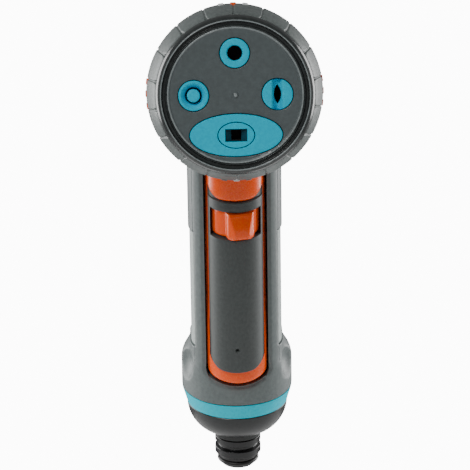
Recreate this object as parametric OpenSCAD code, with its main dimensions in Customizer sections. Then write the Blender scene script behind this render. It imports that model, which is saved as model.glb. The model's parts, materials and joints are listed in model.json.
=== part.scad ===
// Hose spray nozzle: a pistol-grip spray gun with a full-length front trigger, a lock wheel in the
// trigger, a turning head with four spray patterns and a quick-connect hose plug.
// Millimetres. The origin is the middle of the hose plug's end face. +Z is up, +X is to the right
// and the water leaves along -Y. The handle leans back under the head.

/* [Layout] */
// Lean of the handle away from upright, in degrees
handle_lean = 17.8; // [16.5:0.1:19]
// Height of the spray axis above the plug's end
spray_height = 156; // [154:1:160]
// Distance from the plug's end forward to the face plate
face_reach = 118; // [117:1:122]
// Radius of the bend between handle and neck
bend_r = 26; // [25:0.5:27]

/* [Handle] */
// Half of the handle's width
handle_half_w = 18.4; // [18:0.1:19]
// Depth of the handle in front of its axis
handle_front = 20; // [19.5:0.1:20.5]
// Depth of the handle behind its axis
handle_back = 19; // [19:0.1:20]
// Corner radius at the front of the handle
front_corner_r = 13; // [12:0.5:14]
// Corner radius at the back of the handle
back_corner_r = 15; // [13:0.5:16]
// Wall thickness of the handle
wall = 3.4; // [3.2:0.1:3.5]
// Radius of the round bell at the foot of the handle
bell_r = 22; // [21.8:0.1:22.5]
// Where the plane that parts the front frame from the rear shell lies
parting_y = -13.5; // [-13.8:0.1:-13.2]
// Thickness of the soft rear grip
grip_skin = 1.2; // [1:0.1:1.4]

/* [Trigger] */
// Half of the width of the opening that the trigger works in
opening_half_w = 12.65; // [12.5:0.05:12.8]
// Half of the trigger's width
trigger_half_w = 11.9; // [11.7:0.05:12]
// Height of the trigger's pivot up the handle
pivot_up = 139; // [138.5:0.5:139.5]
// Depth of the trigger's pivot in front of the handle's axis
pivot_front = 16; // [15.5:0.1:16.2]
// Radius of the trigger pin
pin_r = 1.6; // [1.4:0.1:1.7]
// Radius of the lobe on the lock wheel
lobe_r = 13.6; // [13:0.1:14]

/* [Head] */
// Largest radius of the grip ring
ring_r = 33; // [32.5:0.1:34]
// Number of pads round the grip ring
pad_count = 18; // [12:2:24]
// Radius of the face plate
face_r = 25.3; // [25:0.1:25.5]
// Distance of the spray patterns from the spray axis
station_r = 15.45; // [15.2:0.05:15.6]
// Radius of the spindle screw that the head turns on
spindle_r = 2.9; // [2.6:0.1:3]

/* [Base] */
// Radius of the hose plug's collars
collar_r = 9; // [8.8:0.05:9.2]
// Radius of the locking groove between the collars
groove_r = 7.9; // [7.6:0.1:8.2]
// Radius of the water passage through the plug
plug_bore_r = 5.2; // [4.8:0.1:5.4]

/* [Hidden] */
$fn = 72;

// Colours
shell_grey = [0.42, 0.44, 0.44];
soft_grey = [0.66, 0.69, 0.68];
dark_grey = [0.17, 0.18, 0.18];
black = [0.06, 0.06, 0.065];
orange = [0.93, 0.30, 0.08];
cyan = [0.05, 0.66, 0.76];
steel = [0.72, 0.73, 0.75];

// A hair of overlap for cuts
eps = 0.1;
// Clearance of a running fit, on the radius
run = 0.05;
// How much fuller a limb is in its bend
swell = 0.06;

// The bend: the handle's axis meets the spray axis at a corner, which the bend rounds off
corner_up = spray_height / cos(handle_lean);
corner_back = spray_height * tan(handle_lean);
bend_tangent = bend_r * tan((90 - handle_lean) / 2);
bend_start = corner_up - bend_tangent;
bend_end = face_reach - corner_back - bend_tangent;

// Shank of a body screw
screw_r = 0.9;

// Heights up the handle
cap_low = 13.3;
ring_low = 29.1;
bell_low = 35.8;
bell_straight = 47.5;
shoulder_r = 10;
scoop_r = 11;
frame_ring_top = 58;
grip_top = 107.4;
opening_low = 44.2;
trigger_low = 47;
trigger_top = 143.5;
pad_low = 52.5;
window_low = 109.5;
window_top = 121;
pad_top = 126;

// Valve, along the depth of the handle
valve_up = 100;
valve_r = 8.2;
valve_front = -7.4;
chamber_front = -3.9;
seat_front = 3.2;
seat_back = 4.8;
poppet_back = 6.8;
valve_back = 13.4;
stem_r = 1.5;
stem_front = -11.85;
inlet_y = 9.4;
tube_r = 4.6;
tube_bore_r = 3;
socket_r = 6;

// Head, as depths behind the face plate
cup_front = 3;
cup_back = 13;
plate_front = 13.6;
plate_back = 20;
ring_front = 2.7;
ring_widest = 19;
ring_back = 26;
turret_back = 30;
flange_front = 30.8;
ball_r = 1.7;
ball_depth = cup_back + 1.6;

// Places the children in the frame of the handle: z runs up the handle, -y is its front
module in_handle() {
    rotate([handle_lean, 0, 0]) children();
}

// Places the children in the frame of the head: z runs back from the face plate, -y is up
module in_head() {
    translate([0, -face_reach, spray_height]) rotate([-90, 0, 0]) children();
}

// Carries a 2-D section up the handle from low, round the bend and forward to depth front.
// The second child is the section in the bend, a hair larger than the first.
module limb(low, front) {
    lap = 0.3;
    in_handle() translate([0, 0, low]) linear_extrude(bend_start - low + lap) children(0);
    translate([0, bend_end - face_reach, spray_height - bend_r])
        rotate([90, 0, 90]) rotate([0, 0, handle_lean])
            rotate_extrude(angle = 90 - handle_lean) translate([bend_r, 0]) rotate(-90) children(1);
    in_head() translate([0, 0, front]) linear_extrude(bend_end - front + lap) mirror([0, 1]) children(0);
}

// Cross-section of the handle, x across and y from front to back, drawn in by inset
module handle_outline(inset = 0) {
    half_w = handle_half_w - inset;
    front = handle_front - inset;
    back = handle_back - inset;
    fr = front_corner_r - inset;
    br = back_corner_r - inset;
    translate([-half_w, -front + fr]) square([2 * half_w, front - fr + back - br]);
    translate([-(half_w - fr), -front]) square([2 * (half_w - fr), front]);
    translate([-(half_w - br), 0]) square([2 * (half_w - br), back]);
    for (side = [-1, 1]) {
        translate([side * (half_w - fr), -front + fr]) circle(fr);
        translate([side * (half_w - br), back - br]) circle(br);
    }
}

// A cylinder along the depth of the handle, from y = from to y = to
module across_depth(r, from, to) {
    translate([0, from, 0]) rotate([-90, 0, 0]) cylinder(r = r, h = to - from);
}

// A cylinder along x, centred
module across_width(r, width) {
    rotate([0, 90, 0]) cylinder(r = r, h = width, center = true);
}

// A straight slot with an arched lower end, drawn in x and height
module arched_slot(half_w, low, top, arch_r) {
    rise = arch_r - sqrt(arch_r * arch_r - half_w * half_w);
    translate([-half_w, low + rise]) square([2 * half_w, top - low - rise]);
    intersection() {
        translate([0, low + arch_r]) circle(arch_r);
        translate([-half_w, low]) square([2 * half_w, arch_r]);
    }
}

// Stands a drawing of x and height up in the handle, and extrudes it forward to y = front
module facing_front(front, back) {
    translate([0, back, 0]) rotate([90, 0, 0]) linear_extrude(back - front) children();
}

// An ellipse of width w and height h
module ellipse(w, h) {
    polygon([for (i = [0:59]) [w / 2 * cos(6 * i), h / 2 * sin(6 * i)]]);
}

// A round wire swept along a path of points
module wire(path, r) {
    sides = 8;
    last = len(path) - 1;
    function along(i) = path[min(i + 1, last)] - path[max(i - 1, 0)];
    function unit(v) = v / norm(v);
    function level(i) = let (t = unit(along(i))) unit(cross(t, abs(t[2]) > 0.8 ? [1, 0, 0] : [0, 0, 1]));
    points = [for (i = [0:last]) let (t = unit(along(i)), a = level(i), b = cross(t, a))
        for (k = [0:sides - 1]) path[i] + r * (a * cos(360 * k / sides) + b * sin(360 * k / sides))];
    walls = [for (i = [0:last - 1]) for (k = [0:sides - 1])
        [i * sides + k, i * sides + (k + 1) % sides, (i + 1) * sides + (k + 1) % sides, (i + 1) * sides + k]];
    ends = [[for (k = [sides - 1:-1:0]) k], [for (k = [0:sides - 1]) last * sides + k]];
    polyhedron(points, concat(walls, ends), convexity = 6);
}

// Points of a coil about z, from height 0 to height
function coil_path(coil_r, height, turns) =
    [for (i = [0:20 * turns]) [coil_r * cos(18 * i), coil_r * sin(18 * i), height * i / (20 * turns)]];

// ---- Body ----

// Holes for the four screws that join the rear shell to the front frame
module at_body_screws() {
    for (side = [-1, 1], up = [113, 131]) translate([side * 13.9, 0, up]) children();
}

module body_shell() color(shell_grey) {
    head_seat = 6;
    sleeve_r = 14.5;
    difference() {
        union() {
            difference() {
                limb(frame_ring_top, flange_front + 3) {
                    handle_outline();
                    handle_outline(-swell);
                }
                limb(frame_ring_top - eps, flange_front) {
                    handle_outline(wall);
                    handle_outline(wall - swell);
                }
                // the front frame's share of the handle
                in_handle() translate([-30, parting_y - 30, 40]) cube([60, 30, bend_start - 40]);
            }
            // flange that the head turns against
            in_head() rotate_extrude() polygon([[sleeve_r, flange_front], [24, flange_front],
                [24, flange_front + 2.4], [19, flange_front + 9], [sleeve_r, flange_front + 9]]);
            in_handle() at_body_screws() across_depth(1.7, parting_y, head_seat + 2);
        }
        // seat of the soft grip
        in_handle() translate([0, 0, frame_ring_top - 1]) linear_extrude(grip_top - frame_ring_top + 1)
            difference() {
                translate([-30, parting_y - 1]) square([60, 60]);
                handle_outline(0.5 + grip_skin);
            }
        in_handle() at_body_screws() across_depth(screw_r + 0.02, parting_y - eps, head_seat + eps);
        in_handle() at_body_screws() across_depth(1.9, head_seat, 30);
    }
}

module front_frame() color(shell_grey) in_handle() {
    difference() {
        union() {
            translate([0, 0, bell_straight]) linear_extrude(frame_ring_top - bell_straight) handle_outline();
            intersection() {
                translate([0, 0, bell_straight]) linear_extrude(bend_start - bell_straight) handle_outline();
                translate([-30, parting_y - 30, 0]) cube([60, 30, 200]);
            }
            rotate_extrude() {
                translate([0, bell_low]) square([bell_r, bell_straight - bell_low]);
                translate([0, bell_straight]) square([bell_r - shoulder_r, shoulder_r]);
                intersection() {
                    translate([bell_r - shoulder_r, bell_straight]) circle(shoulder_r);
                    translate([0, bell_straight]) square(40);
                }
            }
        }
        translate([0, 0, bell_straight]) linear_extrude(100) handle_outline(wall);
        translate([0, 0, bell_low - eps]) cylinder(r = 17, h = bell_straight - bell_low + 2 * eps);
        facing_front(-40, -5) arched_slot(opening_half_w, opening_low, 160, 20);
        // thumb scoops at the sides of the bell
        for (side = [-1, 1]) translate([side * 28.2, -10.3, 49]) sphere(scoop_r);
        at_body_screws() across_depth(screw_r + 0.02, -15.4, parting_y + eps);
        translate([0, -pivot_front, pivot_up]) across_width(pin_r + 0.01, 27.7);
    }
    // bosses that hold the trigger pin
    difference() {
        intersection() {
            translate([0, -pivot_front, pivot_up]) across_width(3.4, 40);
            translate([0, 0, pivot_up - 10]) linear_extrude(20) handle_outline(1);
            translate([-30, parting_y - 30, pivot_up - 10]) cube([60, 30, 20]);
        }
        translate([0, 0, pivot_up]) cube([2 * opening_half_w - 0.1, 100, 20], center = true);
        translate([0, -pivot_front, pivot_up]) across_width(pin_r + 0.01, 27.7);
    }
    // posts that the body screws bite into
    intersection() {
        at_body_screws() difference() {
            across_depth(1.6, -16, parting_y);
            across_depth(screw_r + 0.02, -15.4, parting_y + eps);
        }
        translate([0, 0, 100]) linear_extrude(40) handle_outline(0.5);
    }
}

module rear_grip() color(soft_grey) in_handle() {
    translate([0, 0, frame_ring_top + 0.2]) linear_extrude(grip_top - frame_ring_top - 0.4) difference() {
        intersection() {
            handle_outline(0.5);
            translate([-30, parting_y + 0.2]) square([60, 60]);
        }
        handle_outline(0.5 + grip_skin);
    }
}

module body_screws() color(steel) in_handle() at_body_screws() {
    difference() {
        union() {
            across_depth(screw_r, -15.2, 6.2);
            across_depth(1.8, 6, 7.8);
        }
        // cross recess
        for (turn = [0, 90]) rotate([0, turn, 0]) translate([-0.3, 7, -1.2]) cube([0.6, 1, 2.4]);
    }
}

// ---- Base ----

module base_ring() color(cyan) in_handle() rotate_extrude() polygon([[17, ring_low], [20.1, ring_low],
    [bell_r, bell_low], [17, bell_low]]);

module base_cap() color(dark_grey) in_handle() {
    bowl_r = 13.5;
    rotate_extrude() difference() {
        union() {
            // bowl: a quarter round between the plug and the ring
            intersection() {
                translate([20.1 - bowl_r, ring_low]) circle(bowl_r);
                translate([0, cap_low]) square([40, ring_low - cap_low]);
            }
            translate([0, cap_low]) square([9.2, 6]);
            translate([0, ring_low - 1]) square([17, 13]);
        }
        translate([0, 22]) square([14.4, 30]);
        translate([0, cap_low - 1]) square([8, 20]);
    }
}

module hose_plug() color(black) in_handle() rotate_extrude() difference() {
    union() {
        // end with a rounded lip
        translate([0, 0.8]) square([6.9, 3]);
        translate([0, 0]) square([6.1, 3]);
        translate([6.1, 0.8]) circle(0.8);
        // nose with the seal's groove
        translate([0, 3.2]) square([7.7, 1.9]);
        polygon([[0, 4.8], [8.3, 4.8], [collar_r, 5.5], [collar_r, 8.2], [groove_r, 8.9], [groove_r, 9.9],
            [collar_r, 10.6], [collar_r, cap_low], [0, cap_low]]);
        // shank in the cap, flange inside it and socket of the water tube
        translate([0, cap_low]) square([8, 8.7]);
        translate([0, 22]) square([11.5, 2]);
        translate([0, 24]) square([socket_r, 4]);
    }
    translate([0, -eps]) square([plug_bore_r, 16.6 + eps]);
    translate([0, 16]) square([tube_bore_r, 20]);
    translate([0, 25]) square([tube_r + 0.01, 20]);
    translate([7.9, 2.4]) circle(1.35);
}

module plug_o_ring() color([0.03, 0.03, 0.03]) in_handle() rotate_extrude() translate([7.45, 2.4]) circle(0.85);

module inlet_screen() color(steel) in_handle() translate([0, 0, 15.4]) linear_extrude(0.8) difference() {
    circle(plug_bore_r - 0.02);
    for (x = [-3:3], y = [-3:3]) if (norm([x, y]) * 1.25 < 4.2) translate([x * 1.25, y * 1.25]) circle(0.4);
}

// Path of the water tube in the handle: y and z of each corner
tube_corners = [[0, 25.2], [0, 30.5], [inlet_y, 43], [inlet_y, valve_up - valve_r - 2.5]];

// A bent rod with ball corners along the tube's path
module bent_rod(r, ends) {
    for (i = [0:2]) {
        a = tube_corners[i];
        b = tube_corners[i + 1];
        lean = -atan2(b[0] - a[0], b[1] - a[1]);
        start = i == 0 ? ends : 0;
        stop = i == 2 ? ends : 0;
        translate([0, a[0], a[1]]) rotate([lean, 0, 0]) translate([0, 0, -start])
            cylinder(r = r, h = norm(b - a) + start + stop);
        if (i > 0) translate([0, a[0], a[1]]) sphere(r + swell);
    }
}

module water_tube() color([0.85, 0.86, 0.86]) in_handle() difference() {
    bent_rod(tube_r, 0);
    bent_rod(tube_bore_r, eps);
}

// ---- Valve ----

module valve_body() color([0.9, 0.9, 0.88]) in_handle() translate([0, 0, valve_up]) difference() {
    union() {
        across_depth(valve_r, valve_front, valve_back);
        translate([0, inlet_y, -valve_r - 5]) cylinder(r = socket_r - 0.2, h = valve_r + 5);
        cylinder(r = socket_r, h = valve_r + 5);
    }
    translate([-10, valve_back, -valve_r - 0.6]) cube([20, 5, 20]);
    across_depth(4, chamber_front, seat_front + eps);
    across_depth(5.4, seat_front, valve_back + eps);
    across_depth(stem_r + run, valve_front - eps, chamber_front + eps);
    // inlet from below, outlet above, each with a socket for its tube
    translate([0, inlet_y, -valve_r - 4]) cylinder(r = tube_bore_r, h = valve_r + 4);
    translate([0, inlet_y, -valve_r - 5 - eps]) cylinder(r = tube_r + 0.01, h = 2.6 + eps);
    cylinder(r = tube_bore_r, h = valve_r + 4);
    translate([0, 0, valve_r + 2.4]) cylinder(r = tube_r + 0.01, h = 3);
}

module valve_seat() color(black) in_handle() translate([0, 0, valve_up]) difference() {
    across_depth(5.38, seat_front, seat_back);
    across_depth(2.9, seat_front - eps, seat_back + eps);
}

module valve_stem() color(steel) in_handle() translate([0, 0, valve_up]) {
    across_depth(stem_r, stem_front, poppet_back + 2.4);
    across_depth(4.3, seat_back + 0.02, poppet_back);
}

module stem_o_ring() color(black) in_handle() translate([0, chamber_front + 0.92, valve_up]) rotate([-90, 0, 0])
    rotate_extrude() translate([stem_r + 0.92, 0]) circle(0.9);

module valve_spring() color(steel) in_handle() translate([0, poppet_back + 0.45, valve_up]) rotate([-90, 0, 0])
    wire(coil_path(3, valve_back - poppet_back - 0.9, 4), 0.4);

module valve_plug() color([0.9, 0.9, 0.88]) in_handle() translate([0, 0, valve_up]) difference() {
    union() {
        across_depth(valve_r - 1.2, valve_back, valve_back + 1.4);
        across_depth(5.38, valve_back - 1.6, valve_back);
    }
    across_depth(4, valve_back - 1.6 - eps, valve_back);
}

module outlet_tube() color([0.85, 0.86, 0.86]) difference() {
    limb(valve_up + valve_r + 2.5, plate_back + 9.4) {
        circle(tube_r);
        circle(tube_r + swell);
    }
    limb(valve_up + valve_r, plate_back + 9) {
        circle(tube_bore_r);
        circle(tube_bore_r + swell);
    }
}

// ---- Fixed core of the head ----

module port_plate() color([0.30, 0.31, 0.31]) in_head() {
    channel_front = plate_back + 1.6;
    channel_back = plate_back + 6.6;
    difference() {
        union() {
            translate([0, 0, plate_front]) cylinder(r = 20.8, h = plate_back - plate_front);
            // channel from the tube to the port
            translate([-6, -19, plate_back]) cube([12, 26, 8.4]);
            translate([0, 0, plate_back]) cylinder(r = socket_r, h = 15);
            // sleeve that holds the core in the neck
            difference() {
                translate([0, 0, plate_back]) cylinder(r = 14.48, h = 18);
                translate([0, 0, plate_back - eps]) cylinder(r = 12.5, h = 18 + 2 * eps);
            }
        }
        translate([-3, -18, channel_front]) cube([6, 22, channel_back - channel_front]);
        translate([0, -station_r, plate_front - eps]) cylinder(r = 3, h = channel_front - plate_front + 1);
        translate([0, -station_r, plate_front - eps]) cylinder(r = 5, h = 2 + eps);
        translate([0, 0, plate_front - eps]) cylinder(r = spindle_r + 0.01, h = plate_back - plate_front);
        translate([0, 0, channel_back - eps]) cylinder(r = tube_bore_r, h = 20);
        translate([0, 0, plate_back + 9.3]) cylinder(r = tube_r + 0.01, h = 20);
        rotate([0, 0, 45]) translate([0, station_r, plate_front - eps]) cylinder(r = 2, h = 5.4 + eps);
    }
}

module port_seal() color(black) in_head() translate([0, -station_r, cup_back + 0.05]) difference() {
    cylinder(r = 4.9, h = plate_front + 1.95 - cup_back);
    translate([0, 0, -eps]) cylinder(r = 2.8, h = 5);
}

module detent_ball() color(steel) in_head() rotate([0, 0, 45]) translate([0, station_r, ball_depth]) sphere(ball_r);

module detent_spring() color(steel) in_head() rotate([0, 0, 45]) translate([0, station_r, ball_depth + 1.5])
    wire(coil_path(1.3, 2.55, 3), 0.25);

module turret_screw() color(steel) in_head() difference() {
    union() {
        translate([0, 0, cup_front + 0.2]) cylinder(r = 5.4, h = 2.4);
        translate([0, 0, cup_front + 2]) cylinder(r = spindle_r, h = plate_back - cup_front - 2.7);
    }
    for (turn = [0, 90]) rotate([0, 0, turn]) translate([-2.6, -0.5, cup_front]) cube([5.2, 1, 1.4]);
}

// ---- Turning head ----

// Angle of each spray pattern round the head, 0 at the top: jet, flat, oval, cone
module at_station(turn) {
    rotate([0, 0, turn]) translate([0, -station_r, 0]) children();
}

module turret_cup() color(dark_grey) in_head() difference() {
    rotate_extrude() polygon([[0, cup_front], [face_r, cup_front], [face_r, ring_front], [27.3, ring_front],
        [30.5, ring_widest], [30.5, ring_back], [24.5, turret_back], [21.5, turret_back], [21.5, cup_back],
        [0, cup_back]]);
    for (turn = [0:90:270]) at_station(turn) {
        cylinder(r = 2.5, h = cup_back + eps);
        translate([0, 0, cup_front - eps]) cylinder(r = 4.6, h = 5 + eps);
    }
    // track of the detent ball, with a dimple for each station
    rotate_extrude() translate([station_r, ball_depth]) circle(ball_r + 0.1);
    for (turn = [45:90:315]) rotate([0, 0, turn]) translate([0, station_r, ball_depth - 0.2]) sphere(ball_r + 0.2);
    cylinder(r = spindle_r + run, h = cup_back + eps);
    cylinder(r = 5.8, h = cup_front + 2.8);
}

module grip_ring() color(soft_grey) in_head() difference() {
    rotate_extrude() difference() {
        polygon([[20, ring_front], [29.5, ring_front], [31.4, 8.5], [32.6, 14], [ring_r, ring_widest],
            [ring_r - 0.2, 22.6], [32.1, 25], [30.6, ring_back], [20, ring_back]]);
        polygon([[10, ring_front - 1], [27.3, ring_front - 1], [27.3, ring_front], [30.5, ring_widest],
            [30.5, 30], [10, 30]]);
    }
    mark_bars();
    // grooves between the pads, which follow the ring's outline
    intersection() {
        rotate_extrude() polygon([[28.5, 0], [40, 0], [40, 30], [29.8, 30], [31.4, 25], [ring_r - 0.9, 22.6],
            [ring_r - 0.7, ring_widest], [31.8, 14], [30.6, 8.5], [28.7, ring_front]]);
        for (i = [0:pad_count - 1]) rotate([0, 0, i * 360 / pad_count]) translate([-0.45, -40, -1])
            cube([0.9, 20, 40]);
    }
}

module bezel() color(dark_grey) in_head() rotate_extrude() polygon([[face_r + 0.05, ring_front],
    [face_r + 0.05, -0.3], [face_r + 0.4, -0.6], [26.1, 0.1], [26.9, 0.1], [27.3, -0.9], [27.7, -1], [28.7, 0],
    [29.3, 1.4], [29.5, ring_front]]);

// Widths of the inserts
jet_r = 5.45;
cone_r = 5.6;
flat_r = 5.7;
oval_w = 34.2;
oval_h = 15.6;
oval_drop = 14.8;
insert_gap = 0.25;

module face_plate() color([0.33, 0.35, 0.35]) in_head() difference() {
    union() {
        cylinder(r = face_r, h = cup_front);
        // small raised point in the middle
        translate([0, 0, 0.6]) sphere(1.2);
    }
    at_station(0) translate([0, 0, -5]) cylinder(r = jet_r + insert_gap, h = 10);
    at_station(270) translate([0, 0, -5]) cylinder(r = cone_r + insert_gap, h = 10);
    at_station(90) translate([0, 0, -5]) cylinder(r = flat_r + insert_gap, h = 10);
    translate([0, oval_drop, -5]) linear_extrude(10) ellipse(oval_w + 2 * insert_gap, oval_h + 2 * insert_gap);
    translate([0, 0, cup_front - 0.2]) cylinder(r = 5.6, h = 1);
}

// A round insert: its flange in the face plate and its stem in the cup
module insert_blank(r) {
    translate([0, 0, -0.2]) cylinder(r = r, h = cup_front + 0.2);
    translate([0, 0, cup_front - eps]) cylinder(r = 4.5, h = 4 + eps);
}

module jet_insert() color(cyan) in_head() at_station(0) difference() {
    insert_blank(jet_r);
    translate([0, 0, -1]) cylinder(r = 2.75, h = 6);
    translate([0, 0, -0.3]) cylinder(r1 = 3.15, r2 = 2.7, h = 0.6);
    cylinder(r = 1.6, h = 20);
}

module cone_insert() color(cyan) in_head() at_station(270) difference() {
    insert_blank(cone_r);
    translate([0, 0, -0.3]) cylinder(r1 = 4.5, r2 = 3, h = 2.8);
    translate([0, 0, 2]) cylinder(r = 3, h = 3);
    cylinder(r = 1.01, h = 20);
    for (turn = [0:90:270]) rotate([0, 0, turn]) translate([2.2, 0, 0]) cylinder(r = 0.6, h = 20);
}

module cone_pin() color(cyan) in_head() at_station(270) {
    cylinder(r = 2.4, h = 3.6);
    translate([0, 0, 3.5]) cylinder(r = 1, h = 3.5);
}

module flat_insert() color(cyan) in_head() at_station(90) difference() {
    insert_blank(flat_r);
    // V-shaped groove along the slot, which stands upright
    translate([0, 0, -0.2]) rotate([0, 45, 90]) cube([3.1, 20, 3.1], center = true);
    translate([0, 0, -1]) linear_extrude(20) intersection() {
        translate([0, -4.1]) circle(5.2);
        translate([0, 4.1]) circle(5.2);
    }
}

module oval_insert() color(cyan) in_head() translate([0, oval_drop, 0]) difference() {
    translate([0, 0, -0.2]) linear_extrude(cup_front + 0.2) ellipse(oval_w, oval_h);
    translate([0, 0, -1]) linear_extrude(10) ellipse(13.9, 9.9);
}

module oval_core() color(cyan) in_head() translate([0, oval_drop, 0]) difference() {
    union() {
        translate([0, 0, -0.2]) linear_extrude(cup_front + 0.2) ellipse(13.3, 9.3);
        translate([0, station_r - oval_drop, cup_front - 0.2]) cylinder(r = 4.5, h = 4);
    }
    translate([-4.05, -2.3, -1]) cube([8.1, 4.6, 2.4]);
    translate([-1.8, -1.8, -1]) cube([3.6, 3.6, 20]);
}

// Three bars at each station, set into the grip ring and standing a little proud of it
module mark_bars() {
    for (turn = [0:90:270], k = [-1:1]) rotate([0, 0, turn + 8 * k])
        translate([-1.1, -ring_r - 0.35, 15]) cube([2.2, 1.2, 6]);
}

module pattern_marks() color(orange) in_head() mark_bars();

// ---- Trigger ----

// Section of the trigger: round in front and open behind
module trigger_section() {
    translate([0, -13.5]) circle(trigger_half_w);
    translate([-trigger_half_w, -13.5]) square([2 * trigger_half_w, 5.5]);
}

// Places the children at the lock wheel's axis
module at_wheel() {
    translate([0, -pivot_front, 0]) children();
}

// The space behind the trigger's wall, whose back is at y = wall_back from height low to top
module hollow_back(wall_back, low, top) {
    translate([-9.5, wall_back, low - eps]) cube([19, 20, top - low + eps]);
}

module trigger() color(orange) in_handle() difference() {
    union() {
        intersection() {
            translate([0, 0, trigger_low]) linear_extrude(trigger_top - trigger_low) intersection() {
                trigger_section();
                translate([-30, -60]) square([60, 52]);
            }
            facing_front(-40, 0) arched_slot(trigger_half_w, trigger_low, trigger_top, 36);
        }
        // smooth tongue at the top
        translate([0, -pivot_front, pad_top]) cylinder(r = 10.9, h = trigger_top - pad_top);
    }
    // pocket of the soft pad
    facing_front(-40, -17.5) arched_slot(10.8, pad_low - 0.1, pad_top, 50);
    // hollow back, with the pusher of the valve stem, the wheel pin's hold and the pivot left standing
    hollow_back(-15.3, 51, 97);
    hollow_back(-12, 97, 103);
    hollow_back(-12.4, 103, window_top + 1);
    hollow_back(-13.4, window_top + 1, pivot_up - 8);
    hollow_back(-9.6, pivot_up - 8, trigger_top + 1);
    // room for the lock wheel
    translate([0, -pivot_front, window_low - 0.3]) cylinder(r = 10, h = window_top - window_low + 0.6);
    translate([0, -pivot_front, 103]) cylinder(r = pin_r - 0.09, h = 22);
    translate([0, -pivot_front, pivot_up]) across_width(pin_r + run, 40);
    // room for the return spring
    translate([-6, -21, pivot_up - 4.6]) cube([12, 20, 30]);
}

module trigger_pad() color([0.33, 0.35, 0.35]) in_handle() difference() {
    intersection() {
        translate([0, -16.5, pad_low]) cylinder(r = 10.7, h = pad_top - pad_low - 0.1);
        facing_front(-40, -17.52) arched_slot(10.7, pad_low, pad_top, 50);
    }
    // window of the lock wheel
    translate([-9.7, -40, window_low]) cube([19.4, 40, window_top - window_low]);
    // small dimple low on the pad
    translate([0, 0, 62.4]) across_depth(0.75, -40, -26.4);
    // clearance round the wheel's lobe
    translate([0, -pivot_front, window_low]) cylinder(r = 10.4, h = window_top - window_low);
}

module lock_wheel() color(orange) in_handle() at_wheel() {
    hub_r = 3.4;
    low = window_low + 0.4;
    height = window_top - window_low - 0.8;
    difference() {
        union() {
            translate([0, 0, low]) cylinder(r = hub_r, h = height);
            // front half of the wheel with its faceted lobe, which points forward and a little to the right
            translate([0, 0, low]) linear_extrude(height) rotate(12) {
                intersection() {
                    circle(9.2);
                    translate([-10, -10]) square([20, 11]);
                }
                polygon([[-7, -5.4], [-4.75, -11.1], [-3, -lobe_r + 0.3], [3, -lobe_r + 0.3],
                    [4.75, -11.1], [7, -5.4]]);
            }
        }
        translate([0, 0, low - eps]) cylinder(r = pin_r - 0.1 + run, h = height + 2 * eps);
    }
}

module lock_pin() color(steel) in_handle() at_wheel() translate([0, 0, 103.5])
    cylinder(r = pin_r - 0.1, h = 21);

module trigger_pin() color(steel) in_handle() translate([0, -pivot_front, pivot_up]) across_width(pin_r, 27.6);

module trigger_spring() color(steel) in_handle() translate([-4.4, -pivot_front, pivot_up]) rotate([0, 90, 0])
    wire(coil_path(2.6, 8.8, 7), 0.45);

body_shell();
front_frame();
rear_grip();
base_ring();
base_cap();
hose_plug();
plug_o_ring();
inlet_screen();
water_tube();
valve_body();
valve_seat();
valve_stem();
stem_o_ring();
valve_spring();
valve_plug();
outlet_tube();
port_plate();
port_seal();
detent_ball();
detent_spring();
turret_screw();
turret_cup();
grip_ring();
bezel();
face_plate();
jet_insert();
cone_insert();
cone_pin();
flat_insert();
oval_insert();
oval_core();
pattern_marks();
trigger();
trigger_pad();
trigger_pin();
trigger_spring();
lock_wheel();
lock_pin();
body_screws();
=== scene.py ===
"""Visual model of the hose spray nozzle: the visible pieces are rebuilt in mesh code over the CAD frame.

Two working frames are used, both in millimetres. The handle frame stands on the hose plug's end: z runs up
the handle and -y is its front. The head frame lies in the face plate: z is the depth behind it, y is down.
"""
import json
import math

import bmesh
import bpy
from mathutils import Matrix, Vector
from mathutils.geometry import delaunay_2d_cdt


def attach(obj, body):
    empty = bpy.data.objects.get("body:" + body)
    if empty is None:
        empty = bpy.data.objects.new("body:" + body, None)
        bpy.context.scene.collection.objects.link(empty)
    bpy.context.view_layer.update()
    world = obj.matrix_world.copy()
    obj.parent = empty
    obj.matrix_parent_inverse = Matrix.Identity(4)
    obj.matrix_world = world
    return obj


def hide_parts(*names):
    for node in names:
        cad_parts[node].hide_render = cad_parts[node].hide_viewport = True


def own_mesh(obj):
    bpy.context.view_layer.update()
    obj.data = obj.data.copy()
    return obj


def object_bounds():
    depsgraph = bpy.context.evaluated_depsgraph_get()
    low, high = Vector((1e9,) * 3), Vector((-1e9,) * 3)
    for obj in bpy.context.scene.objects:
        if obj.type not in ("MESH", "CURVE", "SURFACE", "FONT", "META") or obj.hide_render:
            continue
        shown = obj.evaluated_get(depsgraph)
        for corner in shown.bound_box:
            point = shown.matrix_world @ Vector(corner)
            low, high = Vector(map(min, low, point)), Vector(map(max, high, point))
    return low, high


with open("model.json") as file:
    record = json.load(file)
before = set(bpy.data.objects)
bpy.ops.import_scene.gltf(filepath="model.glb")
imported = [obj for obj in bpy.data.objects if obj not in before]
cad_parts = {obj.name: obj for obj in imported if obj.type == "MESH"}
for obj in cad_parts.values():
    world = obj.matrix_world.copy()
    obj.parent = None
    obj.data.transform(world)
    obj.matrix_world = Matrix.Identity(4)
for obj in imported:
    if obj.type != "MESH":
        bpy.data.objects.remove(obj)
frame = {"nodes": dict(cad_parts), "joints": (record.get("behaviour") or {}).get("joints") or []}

cad_low, cad_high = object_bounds()
MM = 0.001
joints = {joint["name"]: joint for joint in frame["joints"]}


# ---- Frames and sizes ----

def standing_on(origin, up):
    """Matrix of a frame with its z along up and its x along the row frame's X."""
    z = Vector(up).normalized()
    x = Vector((1, 0, 0))
    axes = Matrix((x, z.cross(x), z)).transposed().to_4x4()
    return Matrix.Translation(origin) @ axes


HANDLE = standing_on((0, 0, 0), joints["lock_turn"]["axis"])
HEAD = standing_on(joints["head_turn"]["pos_m"], [-part for part in joints["head_turn"]["axis"]])


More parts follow.
